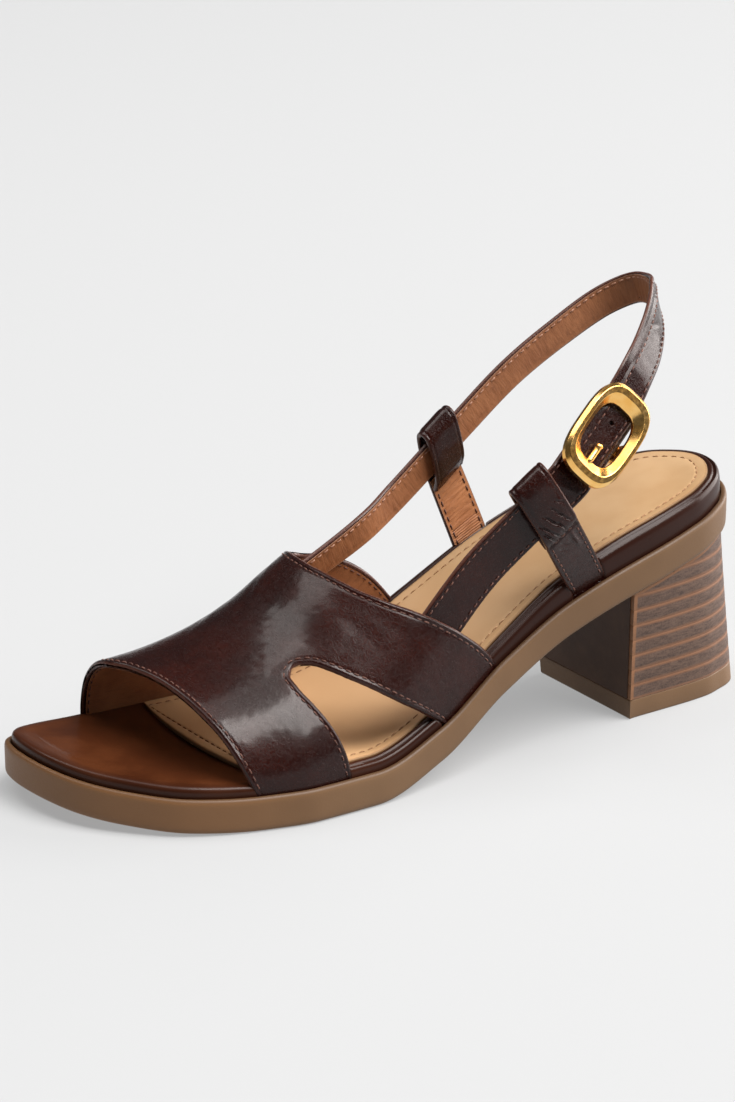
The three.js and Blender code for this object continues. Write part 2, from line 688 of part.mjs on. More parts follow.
// Tab: rises from the well of the sole outside its strap, folds over the strap's upper edge and ends
// in a flap on the inside.
function tab({ foot, at }, stations, strapWidth, side) {
  const held = strapLine(stations)(at);
  const x = foot * SOLE_LENGTH;
  const edge = BALL_WIDTH * soleAt(side > 0 ? 'outer' : 'inner', x);
  const rootInset = RIM_WIDTH + TAB_FOOT_GAP + TAB_THICKNESS / 2;
  const root = new THREE.Vector3(x, edge - side * rootInset, rim(x));
  const footSide = new THREE.Vector3(2, 0, rim(x + 1) - rim(x - 1)).normalize();

  const upper = held.up.clone().multiplyScalar(Math.sign(held.up.z));
  const rise = held.at.clone().sub(root);
  rise.addScaledVector(held.out, -rise.dot(held.out)).normalize();
  const square = new THREE.Vector3().crossVectors(rise, held.out);
  square.multiplyScalar(Math.sign(square.x));
  const topSide = held.along.clone().multiplyScalar(Math.sign(held.along.x)).add(square).normalize();

  const layer = STRAP_THICKNESS / 2 + TAB_STRAP_GAP + TAB_THICKNESS / 2;
  const skew = (TAB_WIDTH / 2) * Math.abs(topSide.dot(upper));
  const fold = (strapWidth / 2 + GAP + skew) / rise.dot(upper);
  const over = (up, out) => held.at.clone().addScaledVector(rise, up).addScaledVector(held.out, out);
  const above = (height) => root.clone().setZ(root.z + height);
  const outerEnd = over(-fold, layer);
  const flapEnd = outerEnd.clone().addScaledVector(root.clone().sub(outerEnd).normalize(), TAB_FLAP);
  flapEnd.addScaledVector(held.out, -TAB_THICKNESS - 2 * GAP);

  const bend = TAB_BEND.map((degrees) => {
    const angle = THREE.MathUtils.degToRad(degrees);
    return { at: over(fold + layer * Math.sin(angle), layer * Math.cos(angle)), width: topSide };
  });
  const route = [
    { at: above(GAP - WELL_DEPTH), width: footSide },
    { at: above(-GAP), width: footSide },
    { at: above(GAP), width: footSide },
    { at: outerEnd, width: topSide },
    ...bend,
    { at: over(-fold, -layer), width: topSide },
    { at: flapEnd, width: topSide },
  ];
  const line = new THREE.CatmullRomCurve3(route.map((s) => s.at), false, 'centripetal');
  const widths = new THREE.CatmullRomCurve3(route.map((s) => s.width), false, 'centripetal');
  return loft(Array.from({ length: TAB_STEPS + 1 }, (_, i) => {
    const up = widths.getPoint(i / TAB_STEPS).normalize();
    const out = new THREE.Vector3().crossVectors(up, line.getTangent(i / TAB_STEPS)).normalize();
    return bandSection({ at: line.getPoint(i / TAB_STEPS), out, up }, TAB_WIDTH, TAB_THICKNESS);
  }));
}

// Outline of the buckle's frame, a long octagon with eased corners, at insets from its ends and sides.
function frameOutline(end, bar, turn) {
  const corner = (value) => Math.sign(value) * Math.abs(value) ** (2 / FRAME_FULLNESS);
  return [
    (FRAME_LENGTH / 2 - end) * corner(Math.cos(2 * Math.PI * turn)),
    (FRAME_WIDTH / 2 - bar) * corner(Math.sin(2 * Math.PI * turn)),
  ];
}

function buckleFrame() {
  const ease = FRAME_EASE * FRAME_DEPTH;
  return closedLoft(Array.from({ length: FRAME_STEPS }, (_, i) => {
    const bar = (share, height) => {
      const [along, across] = frameOutline(share * FRAME_END, share * FRAME_BAR, i / FRAME_STEPS);
      return atBuckle(along, across, -height);
    };
    const rimFace = [bar(0, FRAME_DEPTH - ease), bar(0.2, FRAME_DEPTH), bar(0.6, FRAME_DEPTH)];
    return [bar(0, 0), ...rimFace, bar(1, ease), bar(1, 0)];
  }));
}

// Prong: a peg from the lower end of the frame's window over the sling strap.
function buckleProng() {
  const from = GAP + FRAME_END - FRAME_LENGTH / 2;
  const ring = (along, radius) => Array.from({ length: PRONG_STEPS }, (_, i) => {
    const angle = (2 * Math.PI * i) / PRONG_STEPS;
    return atBuckle(along, radius * Math.cos(angle), -PRONG_RADIUS - radius * Math.sin(angle));
  });
  const tip = from + PRONG_LENGTH;
  const round = PRONG_EASE * PRONG_RADIUS;
  return loft([ring(from, PRONG_RADIUS), ring(tip - round, PRONG_RADIUS), ring(tip, round)]);
}

// Keeper: a bridge behind both straps whose arms reach to the back of the frame's long sides.
function buckleKeeper() {
  const depth = BUCKLE_STRAP_UNDER + STRAP_THICKNESS / 2 + GAP;
  const arm = BUCKLE_STRAP_WIDTH / 2 + GAP;
  const outer = arm + KEEPER_THICKNESS;
  const back = depth + KEEPER_THICKNESS;
  const profile = [
    [-outer, GAP],
    [-outer, back],
    [outer, back],
    [outer, GAP],
    [arm, GAP],
    [arm, depth],
    [-arm, depth],
    [-arm, GAP],
  ];
  const shape = new THREE.Shape(profile.map(([across, under]) => new THREE.Vector2(across, under)));
  const geometry = new THREE.ExtrudeGeometry(shape, { depth: KEEPER_WIDTH, bevelEnabled: false });
  const position = geometry.getAttribute('position');
  const points = [];
  for (let i = 0; i < position.count; i += 1) {
    points.push(atBuckle(position.getZ(i) - KEEPER_WIDTH / 2, position.getX(i), position.getY(i)));
  }
  return solid(points, points.map((_, i) => i));
}

// Finishes
function finish(color, roughness, metalness = 0) {
  return new THREE.MeshStandardMaterial({ color, roughness, metalness });
}

const rubber = finish(0x7d6446, 0.55);
const stack = finish(0x5f4a3f, 0.6);
const leather = finish(0x2a1412, 0.25);
const wrap = finish(0x5a3219, 0.35);
const lining = finish(0xd0a87a, 0.7);
const gold = finish(0xd9a93a, 0.2, 1);

const sandal = new THREE.Group();
sandal.position.x = TREAD_LENGTH / 2 - TREAD_FRONT;

function add(name, geometry, material) {
  const mesh = new THREE.Mesh(geometry, material);
  mesh.name = name;
  sandal.add(mesh);
}

const sling = slingStations();
const buckleStrap = buckleStrapStations();
add('outsole', outsole(), rubber);
add('heel_block', heelBlock(), stack);
add('heel_lift', heelLift(), rubber);
add('footbed', footbed(), wrap);
add('insock', insock(), lining);
add('vamp', vamp(), leather);
add('sling_strap', strap(sling, SLING_WIDTH, SLING_STEPS), leather);
add('buckle_strap', strap(buckleStrap, BUCKLE_STRAP_WIDTH, BUCKLE_STRAP_STEPS), leather);
add('tab_lateral', tab(TAB_OUTER, buckleStrap, BUCKLE_STRAP_WIDTH, 1), leather);
add('tab_medial', tab(TAB_INNER, sling, SLING_WIDTH, -1), leather);
add('buckle_frame', buckleFrame(), gold);
add('buckle_prong', buckleProng(), gold);
add('buckle_keeper', buckleKeeper(), gold);

export default sandal;
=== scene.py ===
import bmesh
import bpy
import numpy as np
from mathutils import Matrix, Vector, kdtree, noise


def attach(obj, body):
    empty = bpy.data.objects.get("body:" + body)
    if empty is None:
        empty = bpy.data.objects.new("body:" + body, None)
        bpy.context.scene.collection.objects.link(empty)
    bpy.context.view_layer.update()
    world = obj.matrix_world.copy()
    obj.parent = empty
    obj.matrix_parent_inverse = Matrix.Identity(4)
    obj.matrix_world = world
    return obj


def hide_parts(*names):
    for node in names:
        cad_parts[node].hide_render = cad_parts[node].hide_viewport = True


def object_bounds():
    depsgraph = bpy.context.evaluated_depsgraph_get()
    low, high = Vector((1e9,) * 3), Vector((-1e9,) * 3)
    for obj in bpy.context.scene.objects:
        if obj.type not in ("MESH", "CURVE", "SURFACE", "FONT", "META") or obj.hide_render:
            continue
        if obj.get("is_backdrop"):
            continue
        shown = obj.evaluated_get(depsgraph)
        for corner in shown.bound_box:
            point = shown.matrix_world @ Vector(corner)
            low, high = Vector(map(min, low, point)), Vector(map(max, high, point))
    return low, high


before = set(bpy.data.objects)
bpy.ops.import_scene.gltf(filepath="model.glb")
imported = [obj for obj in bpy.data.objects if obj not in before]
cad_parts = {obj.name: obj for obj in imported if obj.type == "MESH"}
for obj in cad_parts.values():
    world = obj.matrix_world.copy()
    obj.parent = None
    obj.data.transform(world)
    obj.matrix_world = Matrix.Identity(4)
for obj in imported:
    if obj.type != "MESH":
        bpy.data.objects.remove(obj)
SIZES = {"cad": [list(corner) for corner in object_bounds()]}

# Sole and heel
SOLE_LENGTH = 236.5
BALL_WIDTH = 85
HEEL_HEIGHT = 55
TOE_SPRING = 5
SOLE_THICKNESS = 10.5
RIM_WIDTH = 1.9
WELL_DEPTH = 1.5
TREAD_LENGTH = 50
TREAD_WIDTH = 47
TREAD_FRONT = 48.5
BREAST_TOP = 50.5
LIFT_HEIGHT = 6.5
HEEL_INSET = 1.6
HEEL_LAYER = 5.1

# Footbed and insock
BED_HEIGHT = 8
BED_ROLL = 3.2
BED_DISH = 3.8
DISH_LEVEL = 0.93
INSOCK_THICKNESS = 1
INSOCK_MARGIN = 4
INSOCK_FRONT = 191.4
INSOCK_BOW = 7
FRONT_BOW = 8

# Upper
INSTEP_HEIGHT = 52
VAMP_WALL = 2.2
STRAP_THICKNESS = 2.2
SLING_WIDTH = 10
SLING_RISE = 66
HOLE_FROM_END = 16.8
BUCKLE_STRAP_WIDTH = 14
TAB_WIDTH = 13
TAB_THICKNESS = 2
FLAP_LENGTH = 4.6
SEAM_DROP = 3.4
LINING = 0.5
STITCH_IN = 1.9
STITCH_PITCH = 2.6
STITCH_LENGTH = 1.9
THREAD_RADIUS = 0.24

# Buckle
FRAME_LENGTH = 32.5
FRAME_WIDTH = 20.8
FRAME_BAR = 3.8
FRAME_END = 6.5
FRAME_DEPTH = 3.2
FRAME_FULLNESS = 3.2
PRONG_RADIUS = 1.1
PRONG_LENGTH = 9
KEEPER_WIDTH = 6
KEEPER_THICKNESS = 1.2

# Clearances
GAP = 0.3
TAB_FOOT_GAP = 0.45
TAB_STRAP_GAP = 0.9
LEG_RAMP = 1.6
ROOT_CURVE = 1.5

# Small step for slopes, and metres in a millimetre
SLOPE_STEP = 0.004
MM = 0.001


def columns(names, *rows):
    """Table with named columns."""
    return dict(zip(names.split(), np.array(rows, float).T))


# Sole: along is a share of its length, outer and inner are shares of the ball width, rise of the heel
# height, spring of the toe spring, and bed of the footbed's height over the rim.
SOLE = columns(
    "along outer inner rise spring bed",
    (0.000, -0.012, -0.012, 1.000, 0.00, 0.88),
    (0.017, 0.141, -0.150, 0.988, 0.00, 0.90),
    (0.051, 0.241, -0.250, 0.962, 0.00, 0.92),
    (0.106, 0.306, -0.312, 0.905, 0.00, 0.96),
    (0.190, 0.333, -0.338, 0.811, 0.00, 0.98),
    (0.317, 0.336, -0.342, 0.633, 0.00, 0.88),
    (0.423, 0.355, -0.371, 0.404, 0.00, 0.62),
    (0.529, 0.396, -0.441, 0.127, 0.00, 0.40),
    (0.634, 0.435, -0.518, 0.000, 0.00, 0.36),
    (0.719, 0.440, -0.553, 0.000, 0.00, 0.37),
    (0.785, 0.405, -0.557, 0.000, 0.00, 0.38),
    (0.875, 0.306, -0.539, 0.000, 0.14, 0.41),
    (0.934, 0.165, -0.512, 0.000, 0.42, 0.43),
    (0.973, 0.024, -0.470, 0.000, 0.72, 0.44),
    (0.994, -0.141, -0.400, 0.000, 0.94, 0.45),
    (1.000, -0.294, -0.294, 0.000, 1.00, 0.45),
)

# Side of the sole: inset is a share of the rim's width, level of the sole's thickness.
SOLE_SIDE = columns(
    "inset level",
    (1.05, 0.000),
    (0.78, 0.003),
    (0.52, 0.016),
    (0.30, 0.042),
    (0.13, 0.080),
    (0.03, 0.130),
    (0.00, 0.200),
    (0.00, 0.360),
    (0.00, 0.520),
    (0.00, 0.680),
    (0.00, 0.800),
    (0.02, 0.880),
    (0.08, 0.930),
    (0.18, 0.965),
    (0.34, 0.990),
    (0.55, 1.000),
    (0.85, 1.000),
    (0.96, 0.990),
    (1.00, 0.960),
)

# Edge of the footbed: inset in mm from its outer edge, level of the bed's height, and pipe, the mm
# that the edge stands over that level behind the vamp, where it is bound in two ridges.
BED_EDGE = columns(
    "inset level pipe",
    (0.00, 0.20, 0.00),
    (0.02, 0.40, 0.00),
    (0.12, 0.60, 0.05),
    (0.35, 0.76, 0.15),
    (0.75, 0.88, 0.20),
    (1.20, 0.95, 0.05),
    (1.55, 0.975, -0.35),
    (1.80, 0.985, -0.80),
    (2.00, 0.99, -0.80),
    (2.25, 0.995, -0.25),
    (2.65, 1.00, 0.20),
    (3.20, 1.00, 0.35),
    (3.75, 0.995, 0.15),
    (4.15, 0.985, -0.35),
    (4.40, 0.98, -0.70),
    (5.20, 0.965, -0.60),
    (7.00, 0.93, 0.00),
)

# Tread outline: along is a share of its length from the back, half of its half width.
TREAD = columns(
    "along half",
    (0.00, 0.00),
    (0.02, 0.50),
    (0.11, 0.70),
    (0.21, 0.79),
    (0.35, 0.89),
    (0.55, 0.94),
    (1.00, 1.00),
)

# Last under the vamp: along is a share of the sole's length, ridge the place of its crest as a share
# of the ball width, crest its height as a share of the instep height, full how boxy the section is.
LAST = columns(
    "along ridge crest full",
    (0.38, -0.060, 1.62, 2.30),
    (0.48, -0.090, 1.36, 2.30),
    (0.56, -0.130, 1.13, 2.25),
    (0.63, -0.165, 0.93, 2.20),
    (0.68, -0.185, 0.75, 2.20),
    (0.745, -0.205, 0.605, 2.25),
    (0.81, -0.225, 0.525, 2.35),
    (0.865, -0.235, 0.49, 2.45),
    (0.92, -0.240, 0.44, 2.50),
)

# Edges of the vamp: around runs from 0 at the inner feather line over the foot to 1 at the outer one,
# toe and throat are the places of the two edges as shares of the sole's length.
VAMP = columns(
    "around toe throat",
    (0.00, 0.867, 0.426),
    (0.07, 0.867, 0.461),
    (0.14, 0.867, 0.502),
    (0.19, 0.867, 0.535),
    (0.25, 0.8665, 0.570),
    (0.33, 0.866, 0.598),
    (0.40, 0.865, 0.610),
    (0.47, 0.859, 0.616),
    (0.53, 0.850, 0.617),
    (0.59, 0.842, 0.613),
    (0.66, 0.836, 0.602),
    (0.73, 0.830, 0.580),
    (0.80, 0.822, 0.547),
    (0.85, 0.817, 0.518),
    (0.91, 0.810, 0.483),
    (0.97, 0.802, 0.448),
    (1.00, 0.798, 0.432),
)

# Cut-out in the outer side: down runs from its closed end to just under the feather line, rear and
# front are its two edges as shares of the sole's length.
CUT_TOP = 0.704
CUT_FOOT = 1.05
CUT = columns(
    "down rear front",
    (0.00, 0.700, 0.700),
    (0.02, 0.691, 0.7075),
    (0.05, 0.683, 0.7105),
    (0.15, 0.668, 0.708),
    (0.28, 0.649, 0.700),
    (0.42, 0.622, 0.690),
    (0.57, 0.591, 0.680),
    (0.74, 0.552, 0.671),
    (0.86, 0.524, 0.667),
    (1.00, 0.490, 0.662),
)

# Roots of the two straps on the inside of the vamp
SLING_ROOT = columns("around along", (0.225, 0.600), (0.205, 0.555))
BUCKLE_STRAP_ROOT = columns("around along", (0.885, 0.575), (0.875, 0.532))

# Middle lines of the straps: along and across are shares of the sole's length and the ball width,
# high of the sling's rise over the rim. face is the way that the outer side looks, in degrees from
# the outer side of the foot towards the back, and lean how far that side tips up.
SLING = columns(
    "along across high face lean",
    (0.480, -0.325, 0.550, 180, 8),
    (0.425, -0.365, 0.515, 180, 4),
    (0.327, -0.371, 0.602, 180, 0),
    (0.243, -0.359, 0.736, 176, 0),
    (0.174, -0.341, 0.820, 168, 0),
    (0.110, -0.294, 0.905, 148, 0),
    (0.084, -0.200, 0.960, 112, 4),
    (0.092, -0.075, 0.990, 80, 8),
    (0.116, 0.045, 0.990, 55, 14),
    (0.143, 0.145, 0.965, 38, 20),
    (0.176, 0.230, 0.915, 22, 24),
    (0.209, 0.295, 0.880, 12, 24),
)
BUCKLE_STRAP = columns(
    "along across high face lean",
    (0.455, 0.300, 0.495, -4, 6),
    (0.390, 0.343, 0.578, 0, 10),
)

# Middle of the buckle in the same shares, and the slope and turn of its long side in degrees
BUCKLE = columns("along across high face lean slope turn", (0.2845, 0.376, 0.750, -4, 22, 39.5, 7))

# Places along the buckle, as shares of its length, that each strap runs through behind the frame
SLING_BEHIND = (0.42, 0.1, -0.2, -0.37)
BUCKLE_STRAP_BEHIND = (-0.52, -0.38, 0, 0.46)

# Tabs: foot is the place where each leaves the sole, as a share of its length, and at how far along
# its strap it holds it.
TAB_OUTER = {"foot": 0.284, "at": 0.475, "lean": 0.35}
TAB_INNER = {"foot": 0.312, "at": 0.222, "lean": 0.2}
TAB_BEND = (0, 45, 90, 135, 180)

# Steps of the fine meshes
SIDE_STEPS = 220
RUNG_STEPS = 44
HEEL_STEPS = 48
VAMP_ROWS = 190
VAMP_COLUMNS = 72
STRAP_STEP = 0.55
TAB_STEP = 0.24
ARC_STEPS = 6
STEP_PLACES = np.linspace(-5, 5, 22)
HOLE_PLACES = np.linspace(-1.5, 1.5, 27)


# Curves and tables

def turn_of(share):
    """Angle of a share of a length, which gives round ends to what is interpolated over it."""
    return np.arccos(1 - 2 * np.clip(share, 0, 1)) / np.pi


def share_of(turn):
    return (1 - np.cos(np.pi * np.asarray(turn))) / 2


def mix(a, b, share):
    return a + (b - a) * share


def ramp(value, low, high):
    """Smooth step from 0 at low to 1 at high."""
    t = np.clip((value - low) / (high - low), 0, 1)
    return t * t * (3 - 2 * t)


def unit(vectors):
    return vectors / np.linalg.norm(vectors, axis=-1, keepdims=True)


def dot(a, b):
    return (a * b).sum(-1, keepdims=True)


def between(table, key, column, at, place=lambda value: value):
    """Smooth values of a table's column, with no overshoot between its rows."""
    xs, ys = place(table[key]), table[column]
    steps = np.diff(xs)
    secants = np.diff(ys) / steps
    before, after = secants[:-1], secants[1:]
    a = 2 * steps[1:] + steps[:-1]
    b = steps[1:] + 2 * steps[:-1]
    same_way = before * after > 0
    shares = a / np.where(same_way, before, 1) + b / np.where(same_way, after, 1)
    inner = np.where(same_way, (a + b) / shares, 0)
    slopes = np.concatenate([secants[:1], inner, secants[-1:]])
    x = np.clip(place(np.asarray(at, float)), xs[0], xs[-1])
    i = np.clip(np.searchsorted(xs, x) - 1, 0, len(xs) - 2)
    t = (x - xs[i]) / steps[i]
    s = 1 - t
    rise = (1 + 2 * t) * s * s * ys[i] + t * s * s * steps[i] * slopes[i]
    return rise + t * t * (3 - 2 * t) * ys[i + 1] - t * t * s * steps[i] * slopes[i + 1]


def catmull(points, share):
    """Centripetal curve through points at shares of its length, and its directions."""
    points = np.asarray(points, float)
    ends = [2 * points[:1] - points[1:2], points, 2 * points[-1:] - points[-2:-1]]
    p = np.concatenate(ends)

    def at(t):
        place = np.clip(t, 0, 1) * (len(points) - 1)
        i = np.minimum(place.astype(int), len(points) - 2)
        w = (place - i)[:, None]
        x0, x1, x2, x3 = p[i], p[i + 1], p[i + 2], p[i + 3]
        d1 = np.linalg.norm(x2 - x1, axis=1, keepdims=True) ** 0.5
        d0 = np.linalg.norm(x1 - x0, axis=1, keepdims=True) ** 0.5
        d2 = np.linalg.norm(x3 - x2, axis=1, keepdims=True) ** 0.5
        d1 = np.where(d1 < 1e-4, 1, d1)
        d0 = np.where(d0 < 1e-4, d1, d0)
        d2 = np.where(d2 < 1e-4, d1, d2)
        m1 = ((x1 - x0) / d0 - (x2 - x0) / (d0 + d1) + (x2 - x1) / d1) * d1
        m2 = ((x2 - x1) / d1 - (x3 - x1) / (d1 + d2) + (x3 - x2) / d2) * d1
        cubic = 2 * x1 - 2 * x2 + m1 + m2
        square = -3 * x1 + 3 * x2 - 2 * m1 - m2
        return x1 + w * (m1 + w * (square + w * cubic))

    share = np.asarray(share, float)
    step = 1e-4
    return at(share), unit(at(share + step) - at(share - step))


def lengths(points):
    """Length along a line of points up to each of them."""
    return np.concatenate([[0], np.cumsum(np.linalg.norm(np.diff(points, axis=0), axis=1))])


def resample(step, points, *others):
    """Points, and what goes with them, at even steps along their line."""
    run = lengths(points)
    even = np.linspace(0, run[-1], max(2, int(round(run[-1] / step)) + 1))
    return [np.stack([np.interp(even, run, a[:, k]) for k in range(3)], 1) for a in (points, *others)]


# Sole as functions of x

def sole_at(column, x):
    return between(SOLE, "along", column, x / SOLE_LENGTH, turn_of)


def underside(x):
    return HEEL_HEIGHT * sole_at("rise", x) + TOE_SPRING * sole_at("spring", x)


def rim(x):
    return underside(x) + SOLE_THICKNESS


def bed_top(x, level):
    return rim(x) + BED_HEIGHT * sole_at("bed", x) * level


def outline_point(turn):
    """Point on the sole's outline: turn goes 0 to 1 along the outer side, on to 2 along the inner."""
    turn = np.mod(turn, 2)
    outer = turn <= 1
    x = SOLE_LENGTH * share_of(np.where(outer, turn, 2 - turn))
    return np.stack([x, BALL_WIDTH * np.where(outer, sole_at("outer", x), sole_at("inner", x))], -1)


def inset_point(turn, inset):
    along = unit(outline_point(turn + SLOPE_STEP) - outline_point(turn - SLOPE_STEP))
    inward = np.stack([along[..., 1], -along[..., 0]], -1)
    return outline_point(turn) + inward * np.broadcast_to(inset, turn.shape)[..., None]


def sole_ring(turns, inset, level):
    p = inset_point(turns, inset)
    return np.stack([p[:, 0], p[:, 1], level(p[:, 0])], -1)


def leg_spans(outer, x, height):
    """Starts and ends along one side of the legs of the vamp and of the tab, at a height over the rim."""
    crest = INSTEP_HEIGHT * between(LAST, "along", "crest", x / SOLE_LENGTH)
    in_from_feather = np.arcsin(np.clip(height / crest, 0, 1)) / np.pi
    around = 1 - in_from_feather if outer else in_from_feather
    throat, toe = vamp_edge("throat", around), vamp_edge("toe", around)
    tab = TAB_OUTER if outer else TAB_INNER
    middle = SOLE_LENGTH * tab["foot"] + tab["lean"] * height
    feet = (middle - TAB_WIDTH / 2, middle + TAB_WIDTH / 2)
    if not outer:
        return [feet, (throat, toe)]
    return [feet, (throat, cut_edge("rear", around)), (cut_edge("front", around), toe)]


def leg_recess(turn, height):
    """How far the footbed's edge steps in, out of sight, behind each leg and tab."""
    turn = np.mod(turn, 2)
    x = outline_point(turn)[..., 0]
    recess = np.zeros(x.shape)
    for outer in (True, False):
        for start, end in leg_spans(outer, x, height):
            behind = np.minimum(x - start, end - x)
            recess = np.maximum(recess, ramp(behind, 0.3, 0.3 + LEG_RAMP) * ((turn < 1) == outer))
    return (max(VAMP_WALL, TAB_THICKNESS) + GAP) * recess


def bed_inset(turn, inset, height):
    """Inset from the sole's edge of a place at an inset from the footbed's own edge."""
    return RIM_WIDTH + GAP + inset + leg_recess(turn, height) * (1 - ramp(inset, 0, INSOCK_MARGIN))


# Last under the vamp

def last_point(around, x):
    """Outer face of the last; past the feather lines it goes straight down."""
    around, x = np.broadcast_arrays(np.asarray(around, float), np.asarray(x, float))
    share = x / SOLE_LENGTH
    angle = np.pi * np.clip(around, 0, 1)
    full = between(LAST, "along", "full", share)
    cos, sin = -np.cos(angle), np.sin(angle)
    reach = (np.abs(cos) ** full + np.maximum(sin, 0) ** full) ** (1 / full)
    ridge = BALL_WIDTH * between(LAST, "along", "ridge", share)
    feather = RIM_WIDTH + GAP
    outer = BALL_WIDTH * sole_at("outer", x) - feather
    inner = BALL_WIDTH * sole_at("inner", x) + feather
    span = np.where(cos > 0, outer - ridge, ridge - inner)
    crest = INSTEP_HEIGHT * between(LAST, "along", "crest", share)
    below = INSTEP_HEIGHT * np.maximum(0, np.maximum(around - 1, -around))
    return np.stack([x, ridge + span * cos / reach, rim(x) + crest * sin / reach - below], -1)


def last_slopes(around, x):
    """How the last's face runs over the foot and along it."""
    middle = np.clip(around, 2 * SLOPE_STEP, 1 - 2 * SLOPE_STEP)
    over = last_point(middle + SLOPE_STEP, x) - last_point(middle - SLOPE_STEP, x)
    along = last_point(middle, x + 1) - last_point(middle, x - 1)
    return over / (2 * SLOPE_STEP), along / 2


def last_normal(around, x):
    over, along = last_slopes(around, x)
    return unit(np.cross(along, over))


def off_last(around, x, distance):
    return last_point(around, x) + last_normal(around, x) * np.asarray(distance)[..., None]


# Meshes

def grid(points, lay, close_columns=False):
    """Surface over a grid of points: its points, its faces and where its finish reads its place."""
    rows, count = points.shape[:2]
    r, c = np.meshgrid(np.arange(rows - 1), np.arange(count if close_columns else count - 1), indexing="ij")
    r, c = r.ravel(), c.ravel()
    d = (c + 1) % count
    faces = np.stack([r * count + c, r * count + d, (r + 1) * count + d, (r + 1) * count + c], 1)
    return points.reshape(-1, 3), faces, np.broadcast_to(lay, points.shape).reshape(-1, 3)


def rungs(ring, lay, dish=0.0, steps=RUNG_STEPS):
    """Surface that fills a ring by rungs between its two sides, let down by dish in the middle."""
    half = len(ring) // 2 + 1
    other = (len(ring) - np.arange(half)) % len(ring)
    s = np.linspace(0, 1, steps + 1)[None, :, None]
    points = mix(ring[:half, None], ring[other][:, None], s)
    width = np.abs(ring[:half, 1] - ring[other, 1])
    points[..., 2] -= dish * (4 * s * (1 - s))[..., 0] * ramp(width, 5, 30)[:, None]
    places = np.broadcast_to(lay, ring.shape)
    inner = mix(places[:half, None], places[other][:, None], s).copy()
    inner[..., 2] += np.minimum(s, 1 - s)[..., 0] * width[:, None]
    return grid(points, inner)


def slab(top, bottom, lay):
    """Closed sheet between two grids of points."""
    rim_of = lambda g: np.concatenate([g[0], g[1:, -1], g[-1, -2::-1], g[-2:0:-1, 0]])
    hem = np.stack([rim_of(top), rim_of(bottom)], 0)
    hem_lay = np.stack([rim_of(lay), rim_of(lay)], 0)
    return [grid(top, lay), grid(bottom, lay), grid(hem, hem_lay, close_columns=True)]


def piece(name, surfaces, material, replaces=(), sharp=None, merge=0.01):
    """One object from surfaces in millimetres, in the frame, riding on the sandal's only body."""
    points = np.concatenate([s[0] for s in surfaces])
    firsts = np.cumsum([0] + [len(s[0]) for s in surfaces[:-1]])
    faces = [face for s, first in zip(surfaces, firsts) for face in (s[1] + first).tolist()]
    mesh = bpy.data.meshes.new(name)
    origin = np.array([TREAD_FRONT - TREAD_LENGTH / 2, 0, 0])
    mesh.from_pydata(((points - origin) * MM).tolist(), [], faces)
    lay = mesh.attributes.new("lay", "FLOAT_VECTOR", "POINT")
    lay.data.foreach_set("vector", np.concatenate([s[2] for s in surfaces]).astype(np.float32).ravel())
    work = bmesh.new()
    work.from_mesh(mesh)
    bmesh.ops.remove_doubles(work, verts=work.verts, dist=merge * MM)
    bmesh.ops.recalc_face_normals(work, faces=work.faces)
    work.to_mesh(mesh)
    work.free()
    mesh.shade_smooth()
    if sharp:
        mesh.set_sharp_from_angle(angle=np.radians(sharp))
    mesh.materials.append(material)
    made = bpy.data.objects.new(name, mesh)
    bpy.context.scene.collection.objects.link(made)
    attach(made, "root")
    if replaces:
        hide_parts(*replaces)
    return made


def rough(points, size, depth, seed=0.0):
    """Soft uneven relief of a leather face."""
    flat = points.reshape(-1, 3) / size + seed
    values = np.array([noise.noise(Vector(p)) for p in flat.tolist()])
    return depth * values.reshape(points.shape[:-1])


def creases(u, v, rows):
    """Troughs with soft lips along straight runs from (u0, v0) to (u1, v1) on a flat layout."""
    relief = np.zeros(np.broadcast(u, v).shape)
    for u0, v0, u1, v1, width, depth in rows:
        run = np.hypot(u1 - u0, v1 - v0)
        du, dv = (u1 - u0) / run, (v1 - v0) / run
        t = np.clip((u - u0) * du + (v - v0) * dv, 0, run)
        off = np.hypot(u - u0 - du * t, v - v0 - dv * t) / width
        fade = 0.25 + 0.75 * np.sin(np.pi * np.clip(t / run, 0, 1))
        relief += depth * fade * (off ** 2 * 1.2 - 1) * np.exp(-(off ** 2))
    return relief


def threads(points, normals, pitch=STITCH_PITCH, length=STITCH_LENGTH, radius=THREAD_RADIUS):
    """Row of stitches on a line of points: each rises from its hole, lies flat and goes in again."""
    run = lengths(points)
    count = int(run[-1] / pitch)
    share = np.array([0, 0.08, 0.22, 0.5, 0.78, 0.92, 1])
    lift = np.array([-1.6, -0.5, 0.25, 0.45, 0.25, -0.5, -1.6]) * radius
    thick = np.array([0.7, 0.95, 1, 1, 1, 0.95, 0.7]) * radius
    starts = (run[-1] - count * pitch) / 2 + pitch * np.arange(count) + (pitch - length) / 2
    at = starts[:, None] + share * length
    centre = np.stack([np.interp(at, run, points[:, k]) for k in range(3)], -1)
    up = unit(np.stack([np.interp(at, run, normals[:, k]) for k in range(3)], -1))
    centre = centre + up * lift[:, None]
    along = unit(centre[:, -1:] - centre[:, :1])
    side = unit(np.cross(along, up))
    surfaces = []
    for angle in np.arange(6) * np.pi / 3:
        surfaces.append(centre + (side * np.cos(angle) + up * np.sin(angle)) * thick[:, None])
    rings = np.stack(surfaces, 2)
    return [grid(stitch, np.zeros(3), close_columns=True) for stitch in rings]


# Sole, heel, footbed and insock

TURNS = np.arange(2 * SIDE_STEPS) / SIDE_STEPS


